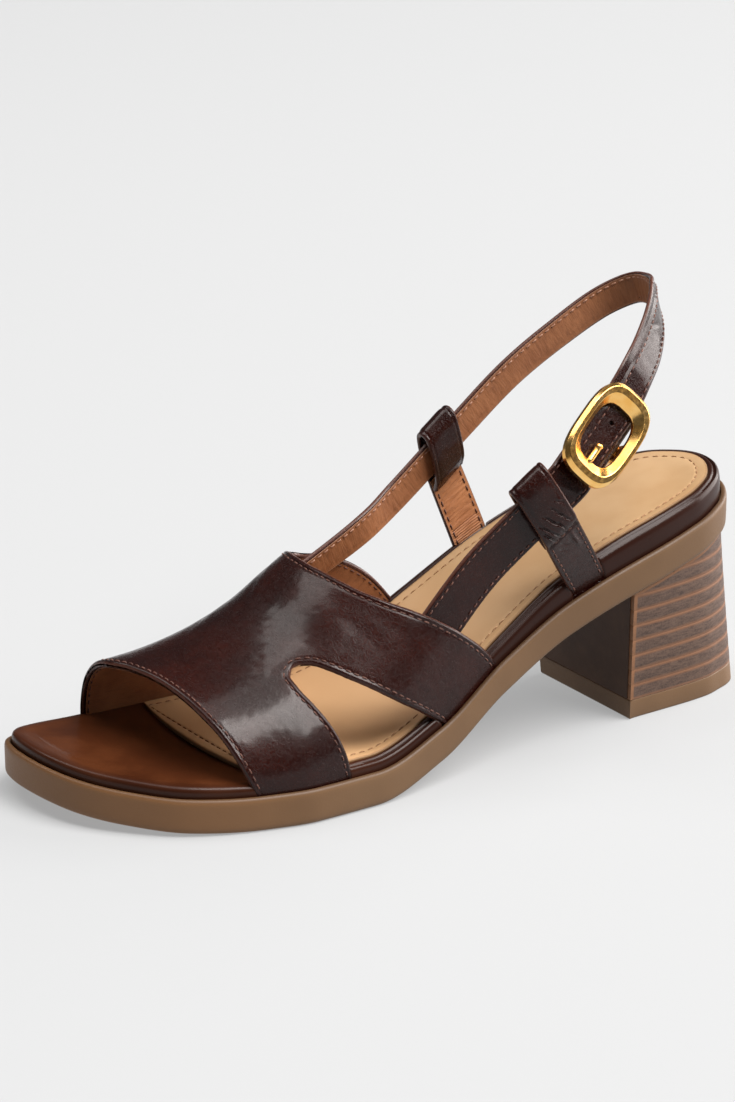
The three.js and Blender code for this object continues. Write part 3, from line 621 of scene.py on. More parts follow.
def bed_turns():
    """Turns round the footbed, with more of them where its edge steps in behind a leg."""
    steps = []
    for outer in (True, False):
        for edges in leg_spans(outer, np.array([0.5 * SOLE_LENGTH]), 2.0):
            for edge in edges:
                steps.extend(turn_of((float(edge[0] if np.ndim(edge) else edge) + STEP_PLACES) / SOLE_LENGTH))
    extra = np.array(steps)
    return np.unique(np.round(np.concatenate([TURNS, extra, 2 - extra]), 6))


def make_sole(material):
    lay_of = lambda ring, level: np.stack([ring[:, 0], np.full(len(ring), level), ring[:, 2]], -1)
    rings = []
    for inset, level in zip(SOLE_SIDE["inset"], SOLE_SIDE["level"]):
        height = lambda x, level=level: underside(x) + level * SOLE_THICKNESS
        rings.append(sole_ring(TURNS, inset * RIM_WIDTH, height))
    rings.append(sole_ring(TURNS, RIM_WIDTH, lambda x: rim(x) - WELL_DEPTH))
    levels = [*SOLE_SIDE["level"], 0.8]
    lays = np.stack([lay_of(ring, level) for ring, level in zip(rings, levels)])
    surfaces = [
        grid(np.stack(rings), lays, close_columns=True),
        rungs(rings[0], lays[0]),
        rungs(rings[-1], lays[-1]),
    ]
    return piece("sole_body", surfaces, material, ["outsole"], sharp=50)


def make_footbed(material):
    """Bed that is bound in two ridges up to the vamp and rolled in one behind the toes."""
    turns = bed_turns()
    rings, lays = [sole_ring(turns, bed_inset(turns, 0, 0), lambda x: rim(x) - WELL_DEPTH + GAP)], []
    for inset, level, pipe in zip(BED_EDGE["inset"], BED_EDGE["level"], BED_EDGE["pipe"]):
        def height(x, level=level, pipe=pipe):
            bound = 1 - ramp(x / SOLE_LENGTH, 0.62, 0.76)
            return bed_top(x, level) + pipe * bound
        over_rim = BED_HEIGHT * level * sole_at("bed", outline_point(turns)[:, 0])
        rings.append(sole_ring(turns, bed_inset(turns, inset, over_rim), height))
    for ring, inset in zip(rings, [0, *BED_EDGE["inset"]]):
        lays.append(np.stack([ring[:, 0], ring[:, 1], np.full(len(ring), inset)], -1))
    surfaces = [
        grid(np.stack(rings), np.stack(lays), close_columns=True),
        rungs(rings[-1], lays[-1], dish=0.5),
        rungs(rings[0], lays[0]),
    ]
    return piece("footbed_wrap", surfaces, material, ["footbed"], sharp=60)


def insock_ring(inset, lift, side_steps=150, front_steps=34):
    """Ring of the insock: along both sides of the footbed, and across it in a bow at the front."""
    corner = turn_of((INSOCK_FRONT - INSOCK_BOW) / SOLE_LENGTH)
    turns = corner * np.arange(side_steps) / (side_steps - 1)

    def side(turn):
        p = inset_point(turn, RIM_WIDTH + GAP + inset)
        level = mix(1, DISH_LEVEL, np.clip((inset - BED_ROLL) / BED_DISH, 0, 1))
        return np.stack([p[:, 0], p[:, 1], bed_top(p[:, 0], level) + lift], -1)

    outer, inner = side(turns), side(2 - turns[1:])[::-1]
    share = (np.arange(1, 2 * front_steps) / front_steps - 1)[:, None]
    front = mix(outer[-1], inner[0], (1 + share) / 2)
    bow = FRONT_BOW - inset
    front[:, 0] += (bow * (1 - share ** 2))[:, 0]
    front[:, 2] = bed_top(front[:, 0], DISH_LEVEL) + lift
    ends = ramp(np.abs(share[:, 0]), 0.8, 1)
    front[:, 2] = mix(front[:, 2], np.where(share[:, 0] < 0, outer[-1, 2], inner[0, 2]), ends)
    return np.concatenate([outer, front, inner])


def make_insock(material, thread):
    """Thin lining sheet with a skived edge and one row of stitches."""
    profile = ((0, -0.3), (0, 0.15), (0.06, 0.4), (0.2, 0.58), (0.5, 0.68), (1.2, 0.72), (2.6, 0.72))
    stitched = ((3.1, 0.66), (3.4, 0.52), (3.7, 0.66), (4.2, 0.72))
    rings = [insock_ring(INSOCK_MARGIN + inset, lift) for inset, lift in (*profile, *stitched)]
    insets = [inset for inset, _ in (*profile, *stitched)]
    lays = [np.stack([r[:, 0], r[:, 1], np.full(len(r), i)], -1) for r, i in zip(rings, insets)]
    surfaces = [
        grid(np.stack(rings), np.stack(lays), close_columns=True),
        rungs(rings[-1], lays[-1], dish=0.7),
        rungs(rings[0], lays[0]),
    ]
    piece("insock_sheet", surfaces, material, ["insock"], sharp=60)
    line = insock_ring(INSOCK_MARGIN + 3.4, 0.62)
    line = np.concatenate([line, line[:1]])
    up = np.broadcast_to([0.0, 0.0, 1.0], line.shape)
    path = resample(0.5, line, up)
    piece("insock_stitches", threads(*path, pitch=3.1, length=2.2), thread)


def heel_ring(height, groove=0.0):
    """Ring of the heel at a height: its back, outer side, breast and inner side."""
    breast = turn_of(BREAST_TOP / SOLE_LENGTH)

    def column(turns):
        top = inset_point(turns, HEEL_INSET)
        outer = turns <= 1
        share = share_of(np.where(outer, turns, 2 - turns)) / share_of(breast)
        half = TREAD_WIDTH / 2 * between(TREAD, "along", "half", share, turn_of)
        foot = np.stack([TREAD_FRONT - TREAD_LENGTH * (1 - share), np.where(outer, half, -half)], -1)
        roof = underside(top[:, 0]) - GAP
        z = np.minimum(height, roof)
        p = mix(foot, top, (z / roof)[:, None])
        return np.concatenate([p, z[:, None]], 1)

    turns = breast * np.arange(HEEL_STEPS) / (HEEL_STEPS - 1)
    outer, inner = column(turns), column(2 - turns[1:])[::-1]
    across = np.linspace(0, 1, 14)[1:-1, None]
    ring = np.concatenate([outer, mix(outer[-1], inner[0], across), inner])
    middle = np.array([TREAD_FRONT - TREAD_LENGTH / 2, 0])
    ring[:, :2] = mix(ring[:, :2], middle, groove / (TREAD_LENGTH / 2))
    return ring


def heel_lay(ring):
    """Places that the heel's finish reads: distance from the breast, height, and depth under the seat."""
    front = ring[:, 0].max()
    roof = underside(np.clip(ring[:, 0], 0, SOLE_LENGTH)) - GAP
    return np.stack([front - ring[:, 0], ring[:, 2], roof - ring[:, 2]], -1)


def make_heel(stack, breast, rubber):
    levels = [(LIFT_HEIGHT + GAP / 2, 0.0)]
    edge = LIFT_HEIGHT
    while edge < HEEL_HEIGHT:
        for step, groove in ((0.35, 0.0), (HEEL_LAYER / 2, -0.05), (HEEL_LAYER - 0.35, 0.0), (HEEL_LAYER, 0.13)):
            levels.append((edge + step, groove))
        edge += HEEL_LAYER
    rings = np.stack([heel_ring(level, groove) for level, groove in levels])
    lays = np.stack([heel_lay(ring) for ring in rings])
    surfaces = [
        grid(rings, lays, close_columns=True),
        rungs(rings[0], lays[0], steps=12),
        rungs(rings[-1], lays[-1], steps=12),
    ]
    piece("heel_stack", surfaces, stack, ["heel_block"], sharp=35, merge=0.004)

    tip = [(0.0, 0.5), (0.12, 0.2), (0.4, 0.04), (0.8, 0.0)]
    tip += [(LIFT_HEIGHT - 0.5, 0.0), (LIFT_HEIGHT - 0.1, 0.1), (LIFT_HEIGHT, 0.3)]
    rings = np.stack([heel_ring(level, groove) for level, groove in tip])
    lays = np.stack([heel_lay(ring) for ring in rings])
    lays[..., 1] = 0.4
    surfaces = [
        grid(rings, lays, close_columns=True),
        rungs(rings[0], lays[0], steps=12),
        rungs(rings[-1], lays[-1], steps=12),
    ]
    piece("heel_tip", surfaces, rubber, ["heel_lift"], sharp=60, merge=0.004)

    low, high = LIFT_HEIGHT + GAP, underside(BREAST_TOP) - 0.5
    rows = []
    for z in np.linspace(low, high, 12):
        ring = heel_ring(z)
        corners = ring[HEEL_STEPS - 1], ring[HEEL_STEPS + 12]
        rows.append(mix(corners[0], corners[1], np.linspace(0.03, 0.97, 24)[:, None]))
    face = np.stack(rows)
    cover = slab(face + [0.35, 0, 0], face - [0.2, 0, 0], np.broadcast_to([0, 0, 9.0], face.shape))
    piece("heel_breast_cover", cover, breast, sharp=50)


# Vamp

EDGE_ROUND = VAMP_WALL / 2
CUT_ARC = 130


def vamp_edge(column, around):
    return SOLE_LENGTH * between(VAMP, "around", column, around)


def cut_edge(column, around, grow=0.0):
    """Edge of the cut-out over the foot, with the hole made wider by grow."""
    top = CUT_TOP - grow / CUT_ARC
    down = np.clip((around - top) / (CUT_FOOT - top), 0, 1)
    side = 1 if column == "front" else -1
    spread = grow * np.where(side > 0, 1.05, 1.9) * ramp(down, 0, 0.03)
    return SOLE_LENGTH * between(CUT, "down", column, down, turn_of) + side * spread


def vamp_rows(top):
    """Places round the foot for the rows of the vamp's mesh, closer together at the cut-out's end."""
    foot = (WELL_DEPTH - GAP) / INSTEP_HEIGHT
    over = int(VAMP_ROWS * 0.66)
    above = top * (1 - (1 - np.linspace(0, 1, over)) ** 1.35)
    below = top + (1 - top) * np.linspace(0, 1, VAMP_ROWS - over + 10)[1:] ** 1.7
    return np.concatenate([[-foot], above, below, [1 + foot]])


def edge_lines():
    """Lines of places along the edges of the vamp that show."""
    around = np.linspace(0, 1, 500)
    down = np.linspace(0, 1, 400)
    leg = CUT_TOP + (1 - CUT_TOP) * share_of(down)
    rear, front = cut_edge("rear", leg), cut_edge("front", leg)
    return {
        "toe": (around, vamp_edge("toe", around)),
        "throat": (around, vamp_edge("throat", around)),
        "cut": (np.concatenate([leg[::-1], leg[1:]]), np.concatenate([rear[::-1], front[1:]])),
    }


class EdgeDistance:
    """Distance on the last from the nearest edge of the vamp that shows."""

    def __init__(self):
        lines = [resample(0.15, last_point(*line))[0] for line in edge_lines().values()]
        points = np.concatenate(lines)
        self.tree = kdtree.KDTree(len(points))
        for i, p in enumerate(points.tolist()):
            self.tree.insert(p, i)
        self.tree.balance()

    def __call__(self, points):
        flat = [self.tree.find(p)[2] for p in points.reshape(-1, 3).tolist()]
        return np.array(flat).reshape(points.shape[:-1])


# Creases of the vamp: places round the foot and along the sole in mm of the laid-out leather, then
# width and depth.
VAMP_CREASES = (
    (46, 150, 66, 166, 2.2, 0.10),
    (54, 158, 76, 172, 2.0, 0.09),
    (38, 160, 58, 182, 2.4, 0.08),
    (70, 170, 86, 184, 1.8, 0.10),
    (76, 164, 92, 176, 1.6, 0.10),
    (60, 176, 78, 190, 2.0, 0.08),
    (84, 176, 96, 186, 1.8, 0.08),
    (88, 150, 108, 140, 2.2, 0.09),
    (92, 142, 116, 130, 2.0, 0.08),
    (30, 170, 40, 190, 2.2, 0.07),
    (20, 150, 34, 170, 2.2, 0.07),
)


def vamp_relief(around, x, distance, points):
    """Crinkles, creases and the pulled-in line of stitches on the vamp's face."""
    ease = ramp(distance, 0.6, 2.6)
    relief = rough(points, 9.0, 0.03, 3.1) + rough(points, 2.2, 0.034, 9.7)
    relief = relief + creases(around * CUT_ARC, x, VAMP_CREASES)
    seam = 0.16 * np.exp(-((distance - STITCH_IN) / 0.45) ** 2)
    padded = 0.08 * np.exp(-((distance - STITCH_IN / 2) / 0.5) ** 2)
    return relief * ease - seam + padded


def rounded(distance, side):
    """Depth of the leather's face at a distance from its folded edge; side is 1 outside, -1 inside."""
    r = EDGE_ROUND
    reach = np.clip(r - distance, 0, r)
    return -VAMP_WALL / 2 + side * np.sqrt(r * r - reach * reach)


def make_vamp(leather, lining, thread):
    distance_to = EdgeDistance()
    rows = vamp_rows(CUT_TOP)
    clustered = share_of(np.linspace(0, 1, VAMP_COLUMNS))

    def face(start, end):
        around, share = np.meshgrid(rows, clustered, indexing="ij")
        x = mix(start[:, None], end[:, None], share)
        base = last_point(around, x)
        distance = distance_to(base)
        depth = rounded(distance, 1) + vamp_relief(around, x, distance, base)
        lay = np.stack([around * CUT_ARC, x, distance], -1)
        return grid(off_last(around, x, depth), lay)

    def lip(around, x, inward):
        """Fold of an edge to the inside of the wall."""
        line = last_point(around, x)
        run = unit(np.gradient(line, axis=0))
        spread = 1 / np.maximum(np.abs(np.cross(run, last_normal(around, x))[:, 0]), 0.35)
        insets = np.array([0, 0.06, 0.22, 0.5, 0.85, 1.1, 1.5])
        places = x[:, None] + inward * insets * spread[:, None]
        turns = np.broadcast_to(around[:, None], places.shape)
        base = last_point(turns, places)
        depth = rounded(distance_to(base), -1)
        lay = np.stack([turns * CUT_ARC, places, np.broadcast_to(insets, places.shape)], -1)
        return grid(off_last(turns, places, depth), lay)

    toe, throat = vamp_edge("toe", rows), vamp_edge("throat", rows)
    front, rear = cut_edge("front", rows), cut_edge("rear", rows)
    leg = rows >= CUT_TOP
    surfaces = [
        face(toe, front),
        face(rear, throat),
        lip(rows, toe, -1),
        lip(rows, throat, 1),
        lip(rows[leg], front[leg], 1),
        lip(rows[leg], rear[leg], -1),
    ]
    piece("vamp_leather", surfaces, leather, ["vamp"], sharp=70)

    inner_rows = vamp_rows(CUT_TOP - 1.0 / CUT_ARC)[1:-1:2]

    def inner(start, end):
        around, share = np.meshgrid(inner_rows, np.linspace(0, 1, 30), indexing="ij")
        x = mix(start[:, None], end[:, None], share)
        lay = np.stack([around * CUT_ARC, x, np.full_like(x, 9)], -1)
        base = last_point(around, x)
        wave = rough(base, 5.0, 0.12, 21.3)
        under = off_last(around, x, -VAMP_WALL - 0.12 + wave)
        over = off_last(around, x, -VAMP_WALL + LINING + 0 * wave)
        return slab(under, over, lay)

    toe = vamp_edge("toe", inner_rows) - 1.0
    throat = vamp_edge("throat", inner_rows) + 1.0 + 1.2 * ramp(inner_rows, 0.6, 0.8)
    front, rear = cut_edge("front", inner_rows, 1.0), cut_edge("rear", inner_rows, 1.0)
    piece("vamp_lining", inner(toe, front) + inner(rear, throat), lining, sharp=60)

    rows_of_thread = []
    for name, (around, x) in edge_lines().items():
        for face_side, depth in ((1, -0.12), (-1, -VAMP_WALL - 0.06)):
            path = stitch_path(around, x, STITCH_IN, EDGE_SIDES[name], depth)
            rows_of_thread += threads(*resample(0.4, path[0], path[1] * face_side))
    piece("vamp_stitches", rows_of_thread, thread)


# Side of each edge line on which the leather lies
EDGE_SIDES = {"toe": 1, "throat": -1, "cut": -1}


def stitch_path(around, x, inset, side, depth):
    """Line of points at an inset from an edge, and the face's directions there."""
    run = unit(np.gradient(last_point(around, x), axis=0))
    over, along = last_slopes(around, x)
    inward = side * unit(np.cross(unit(np.cross(along, over)), run))
    oo, aa, oa = dot(over, over), dot(along, along), dot(over, along)
    io, ia = dot(inward, over), dot(inward, along)
    det = oo * aa - oa * oa
    d_around = inset * (io * aa - ia * oa) / det
    d_x = inset * (ia * oo - io * oa) / det
    places = around + d_around[:, 0], x + d_x[:, 0]
    return off_last(*places, np.full(len(x), depth)), last_normal(*places)


# Straps

def facing(face, lean):
    face, lean = np.radians(face), np.radians(lean)
    level = np.cos(lean)
    return np.stack([-np.sin(face) * level, np.cos(face) * level, np.sin(lean)], -1)


def placed(rows):
    x = rows["along"] * SOLE_LENGTH
    return np.stack([x, rows["across"] * BALL_WIDTH, rim(x) + rows["high"] * SLING_RISE], -1)


def root_stations(rows, width):
    x = rows["along"] * SOLE_LENGTH
    hollow = width ** 2 / (ROOT_CURVE * BALL_WIDTH)
    depth = VAMP_WALL + GAP + hollow + STRAP_THICKNESS / 2
    return off_last(rows["around"], x, np.full(len(x), -depth)), last_normal(rows["around"], x)


def buckle_axes():
    """Middle of the buckle, the way that it faces, its long side towards the heel, and across it."""
    out = facing(BUCKLE["face"], BUCKLE["lean"])[0]
    slope, turn = np.radians(BUCKLE["slope"][0]), np.radians(BUCKLE["turn"][0])
    up = np.array([-np.cos(slope) * np.cos(turn), -np.sin(turn), np.sin(slope)])
    up = unit(up - out * (up @ out))
    return placed(BUCKLE)[0], out, up, np.cross(up, out)


def at_buckle(along, across, under):
    """Points in the buckle's frame: along it, across it and under the back of its frame."""
    middle, out, up, side = buckle_axes()
    along, across, under = np.broadcast_arrays(along, across, under)
    return middle + up * along[..., None] + side * across[..., None] - out * under[..., None]


SLING_UNDER = GAP + STRAP_THICKNESS / 2
BUCKLE_STRAP_UNDER = SLING_UNDER + STRAP_THICKNESS + GAP


def stations(roots, free, behind, under, width):
    """Points on a strap's middle line and the way that its outer side looks there."""
    root, root_out = root_stations(roots, width)
    closed = at_buckle(np.array(behind) * FRAME_LENGTH, 0, under)
    out = np.broadcast_to(buckle_axes()[1], closed.shape)
    points = np.concatenate([root, placed(free), closed])
    return points, np.concatenate([root_out, facing(free["face"], free["lean"]), out])


def strap_frames(points, outs, share):
    """Point, direction, outer side and upper side of a strap at shares of its stations."""
    at, along = catmull(points, share)
    out = catmull(outs, share)[0]
    out = unit(out - along * dot(out, along))
    return at, along, out, np.cross(along, out)


def even_shares(points, step, holes=()):
    """Shares of a curve's stations at even steps along it, and closer at lengths from its end."""
    dense = np.linspace(0, 1, 2000)
    run = lengths(catmull(points, dense)[0])
    even = np.linspace(0, run[-1], int(run[-1] / step) + 1)
    for hole in holes:
        even = np.union1d(even, run[-1] - hole + HOLE_PLACES)
    return np.interp(even, run, dense), even


def band_outline(width, thickness, fine=(), step=0.42):
    """Section of a band: across and over, how far its outer face shows, and the inset from its edge."""
    w, t = width / 2, thickness / 2
    r = 0.9 * t
    arc = np.linspace(0, np.pi / 2, ARC_STEPS)
    face = np.linspace(-(w - r), w - r, int(2 * (w - r) / step) + 1)
    face = np.unique(np.round(np.concatenate([face, fine]), 4))
    across = [face, w - r + r * np.sin(arc)[1:], w - r + r * np.cos(arc)[1:], face[::-1][1:]]
    over = [np.full(len(face), t), t - r + r * np.cos(arc)[1:], r - t - r * np.sin(arc)[1:]]
    over.append(np.full(len(face) - 1, -t))
    across += [r - w - r * np.sin(arc)[1:], r - w - r * np.cos(arc)[1:-1]]
    over += [r - t - r * np.cos(arc)[1:], t - r + r * np.sin(arc)[1:-1]]
    across, over = np.concatenate(across), np.concatenate(over)
    return across, over, np.clip(over / t, 0, 1), w - np.abs(across)


def band(at, out, up, run, width, thickness, relief, ends=2.5, breadth=None, fine=()):
    """Closed strap with rounded edges. relief(run, across, inset) lifts or lowers its outer face."""
    across, over, shown, inset = band_outline(width, thickness, fine)
    left = np.minimum(run, run[-1] - run)
    close = np.sqrt(np.clip(1 - (1 - np.clip(left / ends, 0, 1)) ** 2, 0, 1)) if ends else np.ones(len(run))
    taper = 0.35 + 0.65 * close
    breadth = np.ones(len(run)) if breadth is None else breadth
    a = across * (taper * breadth)[:, None]
    inset = np.broadcast_to(inset, a.shape)
    run_grid = np.broadcast_to(run[:, None], a.shape)
    lift = relief(run_grid, a, inset) * shown
    points = at[:, None] + up[:, None] * a[..., None] + out[:, None] * (over + lift)[..., None]
    lay = np.stack([run_grid, a, inset], -1)
    caps = [cap(points[0], lay[0]), cap(points[-1], lay[-1])]
    return [grid(points, lay, close_columns=True), *caps]


def cap(ring, lay):
    """End face of a band: a fan round its middle."""
    count = len(ring)
    points = np.concatenate([ring, ring.mean(0, keepdims=True)])
    i = np.arange(count)
    faces = np.stack([i, (i + 1) % count, np.full(count, count)], 1)
    return points, faces, np.concatenate([lay, lay.mean(0, keepdims=True)])


def inner_sheet(at, out, up, run, width, thickness, keep, waves=0.1, seed=5.0, gathers=()):
    """Lining on the inside of a band between two lengths along it, gathered in (start, end, pitch, depth)."""
    inside = (run >= keep[0]) & (run <= keep[1])
    run, at, out, up = run[inside], at[inside], out[inside], up[inside]
    across = np.linspace(-width / 2, width / 2, 22)
    base = at[:, None] + up[:, None] * across[:, None]
    lay = np.stack(np.broadcast_arrays(run[:, None], across, width / 2 - np.abs(across)), -1)
    stretched = lay * [1 / 0.9, 1 / 5, 0]
    relief = rough(stretched, 1.0, waves, seed)
    for start, end, pitch, depth in gathers:
        wander = rough(stretched * [0.3, 1.5, 0], 1.0, 2.2, seed + 2)
        fold = np.sin(2 * np.pi * lay[..., 0] / pitch + wander)
        relief = relief + depth * fold * ramp(lay[..., 0], start, start + 1.5) * ramp(-lay[..., 0], -end, -end + 0.6)
    seam = 0.1 * np.exp(-((lay[..., 2] - 1.3) / 0.35) ** 2)
    under = thickness / 2 + 0.16 + relief * ramp(lay[..., 2], 0, 1.2) - seam
    top = base - out[:, None] * under[..., None]
    bottom = base - out[:, None] * (thickness / 2 - LINING)
    return slab(top, bottom, lay)


def face_threads(at, out, up, across, over, keep, run, pitch=STITCH_PITCH, length=STITCH_LENGTH):
    inside = (run >= keep[0]) & (run <= keep[1])
    side = np.sign(over)
    line = at[inside] + up[inside] * across + out[inside] * over
    return threads(*resample(0.35, line, out[inside] * side), pitch=pitch, length=length)


def strap_relief(seed, rows=(), holes=()):
    """Crinkles, creases, edge seams and punched holes of a strap's outer face."""
    def relief(run, across, inset):
        flat = np.stack([run, across, np.zeros_like(run)], -1)
        lift = rough(flat * [1, 0.6, 1], 2.4, 0.07, seed) + rough(flat, 6.5, 0.12, seed + 4)
        lift = lift * ramp(inset, 0.4, 1.8) + creases(run, across, rows)
        lift = lift - 0.13 * np.exp(-((inset - STITCH_IN + 0.4) / 0.4) ** 2)
        for place, side in holes:
            off = np.hypot(run - place, across - side)
            lift = lift - 1.3 * (1 - ramp(off, 0.5, 0.8)) + 0.07 * np.exp(-((off - 1.15) / 0.25) ** 2)
        return lift
    return relief


def make_sling(leather, lining, thread, pale_thread):
    points, outs = stations(SLING_ROOT, SLING, SLING_BEHIND, SLING_UNDER, SLING_WIDTH)
    share, run = even_shares(points, STRAP_STEP, [HOLE_FROM_END])
    at, along, out, up = strap_frames(points, outs, share)
    end = run[-1]
    loop = run[np.argmin(at[:, 0])]
    rows = [(loop + s, -4.4, loop + s + 1.2, 3.8, 0.8, 0.10) for s in (6, 9.5, 12, 15.5, 19, 22, 27)]
    rows += [(loop + 30, -3, loop + 36, 2.5, 1.1, 0.10), (end - 26, -3.5, end - 20, 2, 1.2, 0.12)]
    wide = ramp(run, loop + 2, loop + 22)
    breadth = 1 + 0.24 * wide
    breadth = breadth + 0.08 * ramp(run, loop + 13, loop + 15) * (1 - ramp(run, loop + 17.5, loop + 18.6))
    at = at + up * (1.3 * wide)[:, None]
    face = strap_relief(2.7, rows, [(end - HOLE_FROM_END, -1.0)])

    def relief(run, across, inset):
        doubled = ramp(run, loop + 1, loop + 12) * (1 - ramp(run, end - 22, end - 18))
        step = ramp(across, 3.3, 3.7) * doubled
        groove = np.exp(-((across - 3.4) / 0.3) ** 2) * doubled
        return face(run, across, inset) - 0.35 * step - 0.3 * groove

    top = STRAP_THICKNESS - 0.3
    surfaces = band(at, out, up, run, SLING_WIDTH, top, relief, 4.5, breadth, HOLE_PLACES)
    piece("sling_leather", surfaces, leather, ["sling_strap"], sharp=75)
    shown = (5, end - 24)
    sheet = inner_sheet(at, out, up, run, SLING_WIDTH - 1.2, STRAP_THICKNESS - 0.3, shown, 0.13)
    piece("sling_lining", sheet, lining, sharp=60)
    rows_of_thread = []
    inset = SLING_WIDTH / 2 - STITCH_IN + 0.4
    for side in (-1, 1):
        rows_of_thread += face_threads(at, out, up, side * inset, top / 2 - 0.04, (12, loop + 6), run)
        low = -(SLING_WIDTH / 2 * 1.24 - STITCH_IN + 0.4) if side < 0 else 2.5
        rows_of_thread += face_threads(at, out, up, low, top / 2 - 0.04, (loop + 6, end - 4), run)
    piece("sling_stitches", rows_of_thread, thread)
    seam = face_threads(at, out, up, inset, -top / 2 - 0.18, (7, end - 26), run)
    piece("sling_lining_stitches", seam, pale_thread)


def make_buckle_strap(leather, lining, thread):
    width = BUCKLE_STRAP_WIDTH
    points, outs = stations(BUCKLE_STRAP_ROOT, BUCKLE_STRAP, BUCKLE_STRAP_BEHIND, BUCKLE_STRAP_UNDER, width)
    share, run = even_shares(points, STRAP_STEP)
    at, along, out, up = strap_frames(points, outs, share)
    end = run[-1]
    middle = 0.55 * end
    rows = [(middle + s, -5, middle + s + 3, 4.5, 1.2, 0.12) for s in (1, 5, 8, 12)]
    relief = strap_relief(6.1, rows)
    surfaces = band(at, out, up, run, width, STRAP_THICKNESS - 0.3, relief, 5)
    piece("buckle_strap_leather", surfaces, leather, ["buckle_strap"], sharp=75)
    sheet = inner_sheet(at, out, up, run, width - 0.8, STRAP_THICKNESS - 0.3, (14, end - 8), 0.1, 8.0)
    piece("buckle_strap_lining", sheet, lining, sharp=60)
    rows_of_thread = []
    for side in (-1, 1):
        inset = side * (width / 2 - STITCH_IN + 0.4)
        rows_of_thread += face_threads(at, out, up, inset, STRAP_THICKNESS / 2 - 0.2, (12, end - 6), run)
        rows_of_thread += face_threads(at, out, up, inset, -STRAP_THICKNESS / 2 - 0.02, (16, end - 10), run)
    piece("buckle_strap_stitches", rows_of_thread, thread)


def tab_route(tab, points, outs, strap_width, side):
    """Places and widths of a tab that rises outside its strap, folds over it and ends in a flap."""
    held, along, out, up = (v[0] for v in strap_frames(points, outs, np.array([tab["at"]])))
    x = tab["foot"] * SOLE_LENGTH
    edge = BALL_WIDTH * sole_at("outer" if side > 0 else "inner", x)
    root_inset = RIM_WIDTH + TAB_FOOT_GAP + TAB_THICKNESS / 2
    root = np.array([x, edge - side * root_inset, rim(x)])
    foot_side = unit(np.array([2, 0, rim(x + 1) - rim(x - 1)]))
    upper = up * np.sign(up[2])
    rise = held - root
    rise = unit(rise - out * (rise @ out))
    top_side = along * np.sign(along[0])
    layer = STRAP_THICKNESS / 2 + TAB_STRAP_GAP + TAB_THICKNESS / 2
    fold = (strap_width / 2 + GAP) / (rise @ upper)
    over = lambda high, away: held + rise * high + out * away
    above = lambda height: root + [0, 0, height]
    outer_end = over(-fold, layer)
    down = unit(root - outer_end)
    seam = outer_end + down * SEAM_DROP - out * 0.3
    flap_end = outer_end + down * FLAP_LENGTH - out * (TAB_THICKNESS + 0.25)
    bend = [over(fold + layer * np.sin(a), layer * np.cos(a)) for a in np.radians(TAB_BEND)]
    places = [above(GAP - WELL_DEPTH), above(-GAP), above(GAP), seam, outer_end, *bend]
    places += [over(-fold, -layer), flap_end]
    widths = [foot_side] * 3 + [top_side] * (len(places) - 3)
    return np.array(places), -side * np.array(widths)


def make_tab(name, tab, strap, strap_width, side, rows, gathers, leather, lining, thread):
    """Tab with its seam across under the strap; rows are its creases, from the seam up."""
    places, widths = tab_route(tab, *strap, strap_width, side)
    share, run = even_shares(places, TAB_STEP)
    at, along = catmull(places, share)
    up = unit(catmull(widths, share)[0])
    out = unit(np.cross(up, along))
    legs = len(places) - 1
    seam, top = np.interp([3 / legs, 7 / legs], share, run)
    thickness = TAB_THICKNESS - 0.3
    face = strap_relief(11.3 + side, [(a + seam, b, c + seam, d, w, 1.6 * e) for a, b, c, d, w, e in rows])

    def relief(run, across, inset):
        trough = 0.42 * np.exp(-((run - seam) / 0.5) ** 2) * ramp(inset, 0.2, 1.2)
        pillow = 0.30 * ramp(run, seam, seam + 2.2) * (1 - ramp(run, top - 3, top)) * ramp(inset, 0, 3)
        return face(run, across, inset) - trough + pillow

    fine = np.arange(-TAB_WIDTH / 2 + 1.2, TAB_WIDTH / 2 - 1.2, TAB_STEP)
    surfaces = band(at, out, up, run, TAB_WIDTH, thickness, relief, None, fine=fine)
    piece(name + "_leather", surfaces, leather, [name], sharp=75)
    waves = 0.16 if side < 0 else 0.08
    sheet = inner_sheet(at, out, up, run, TAB_WIDTH - 0.8, thickness, (1.0, seam + 1.2), waves, 15.0, gathers)
    piece(name + "_lining", sheet, lining, sharp=60)
    rows_of_thread = []
    edge = TAB_WIDTH / 2 - STITCH_IN + 0.4
    for across in (-edge, edge):
        rows_of_thread += face_threads(at, out, up, across, thickness / 2 - 0.08, (2.5, seam - 0.3), run)
        rows_of_thread += face_threads(at, out, up, across, -thickness / 2 - 0.18, (2.5, seam - 0.3), run)
    middle = np.argmin(np.abs(run - seam))
    sides = np.linspace(-edge, edge, 24)[:, None]
    for over in (thickness / 2 - 0.3, -thickness / 2 - 0.18):
        line = at[middle] + up[middle] * sides + out[middle] * over
        normal = np.broadcast_to(out[middle] * np.sign(over), line.shape)
        rows_of_thread += threads(*resample(0.35, line, normal))
    piece(name + "_stitches", rows_of_thread, thread)


# Buckle

# Corners of the frame's section: inset is a share of its bar's width from the outside, height of its
# depth.
FRAME_SIDE = ((0.03, 0.00), (0.00, 0.03), (0.00, 0.58), (0.19, 1.00), (0.52, 1.00), (0.97, 0.40), (1.00, 0.32), (1.00, 0.00))
FRAME_EASE = 0.028


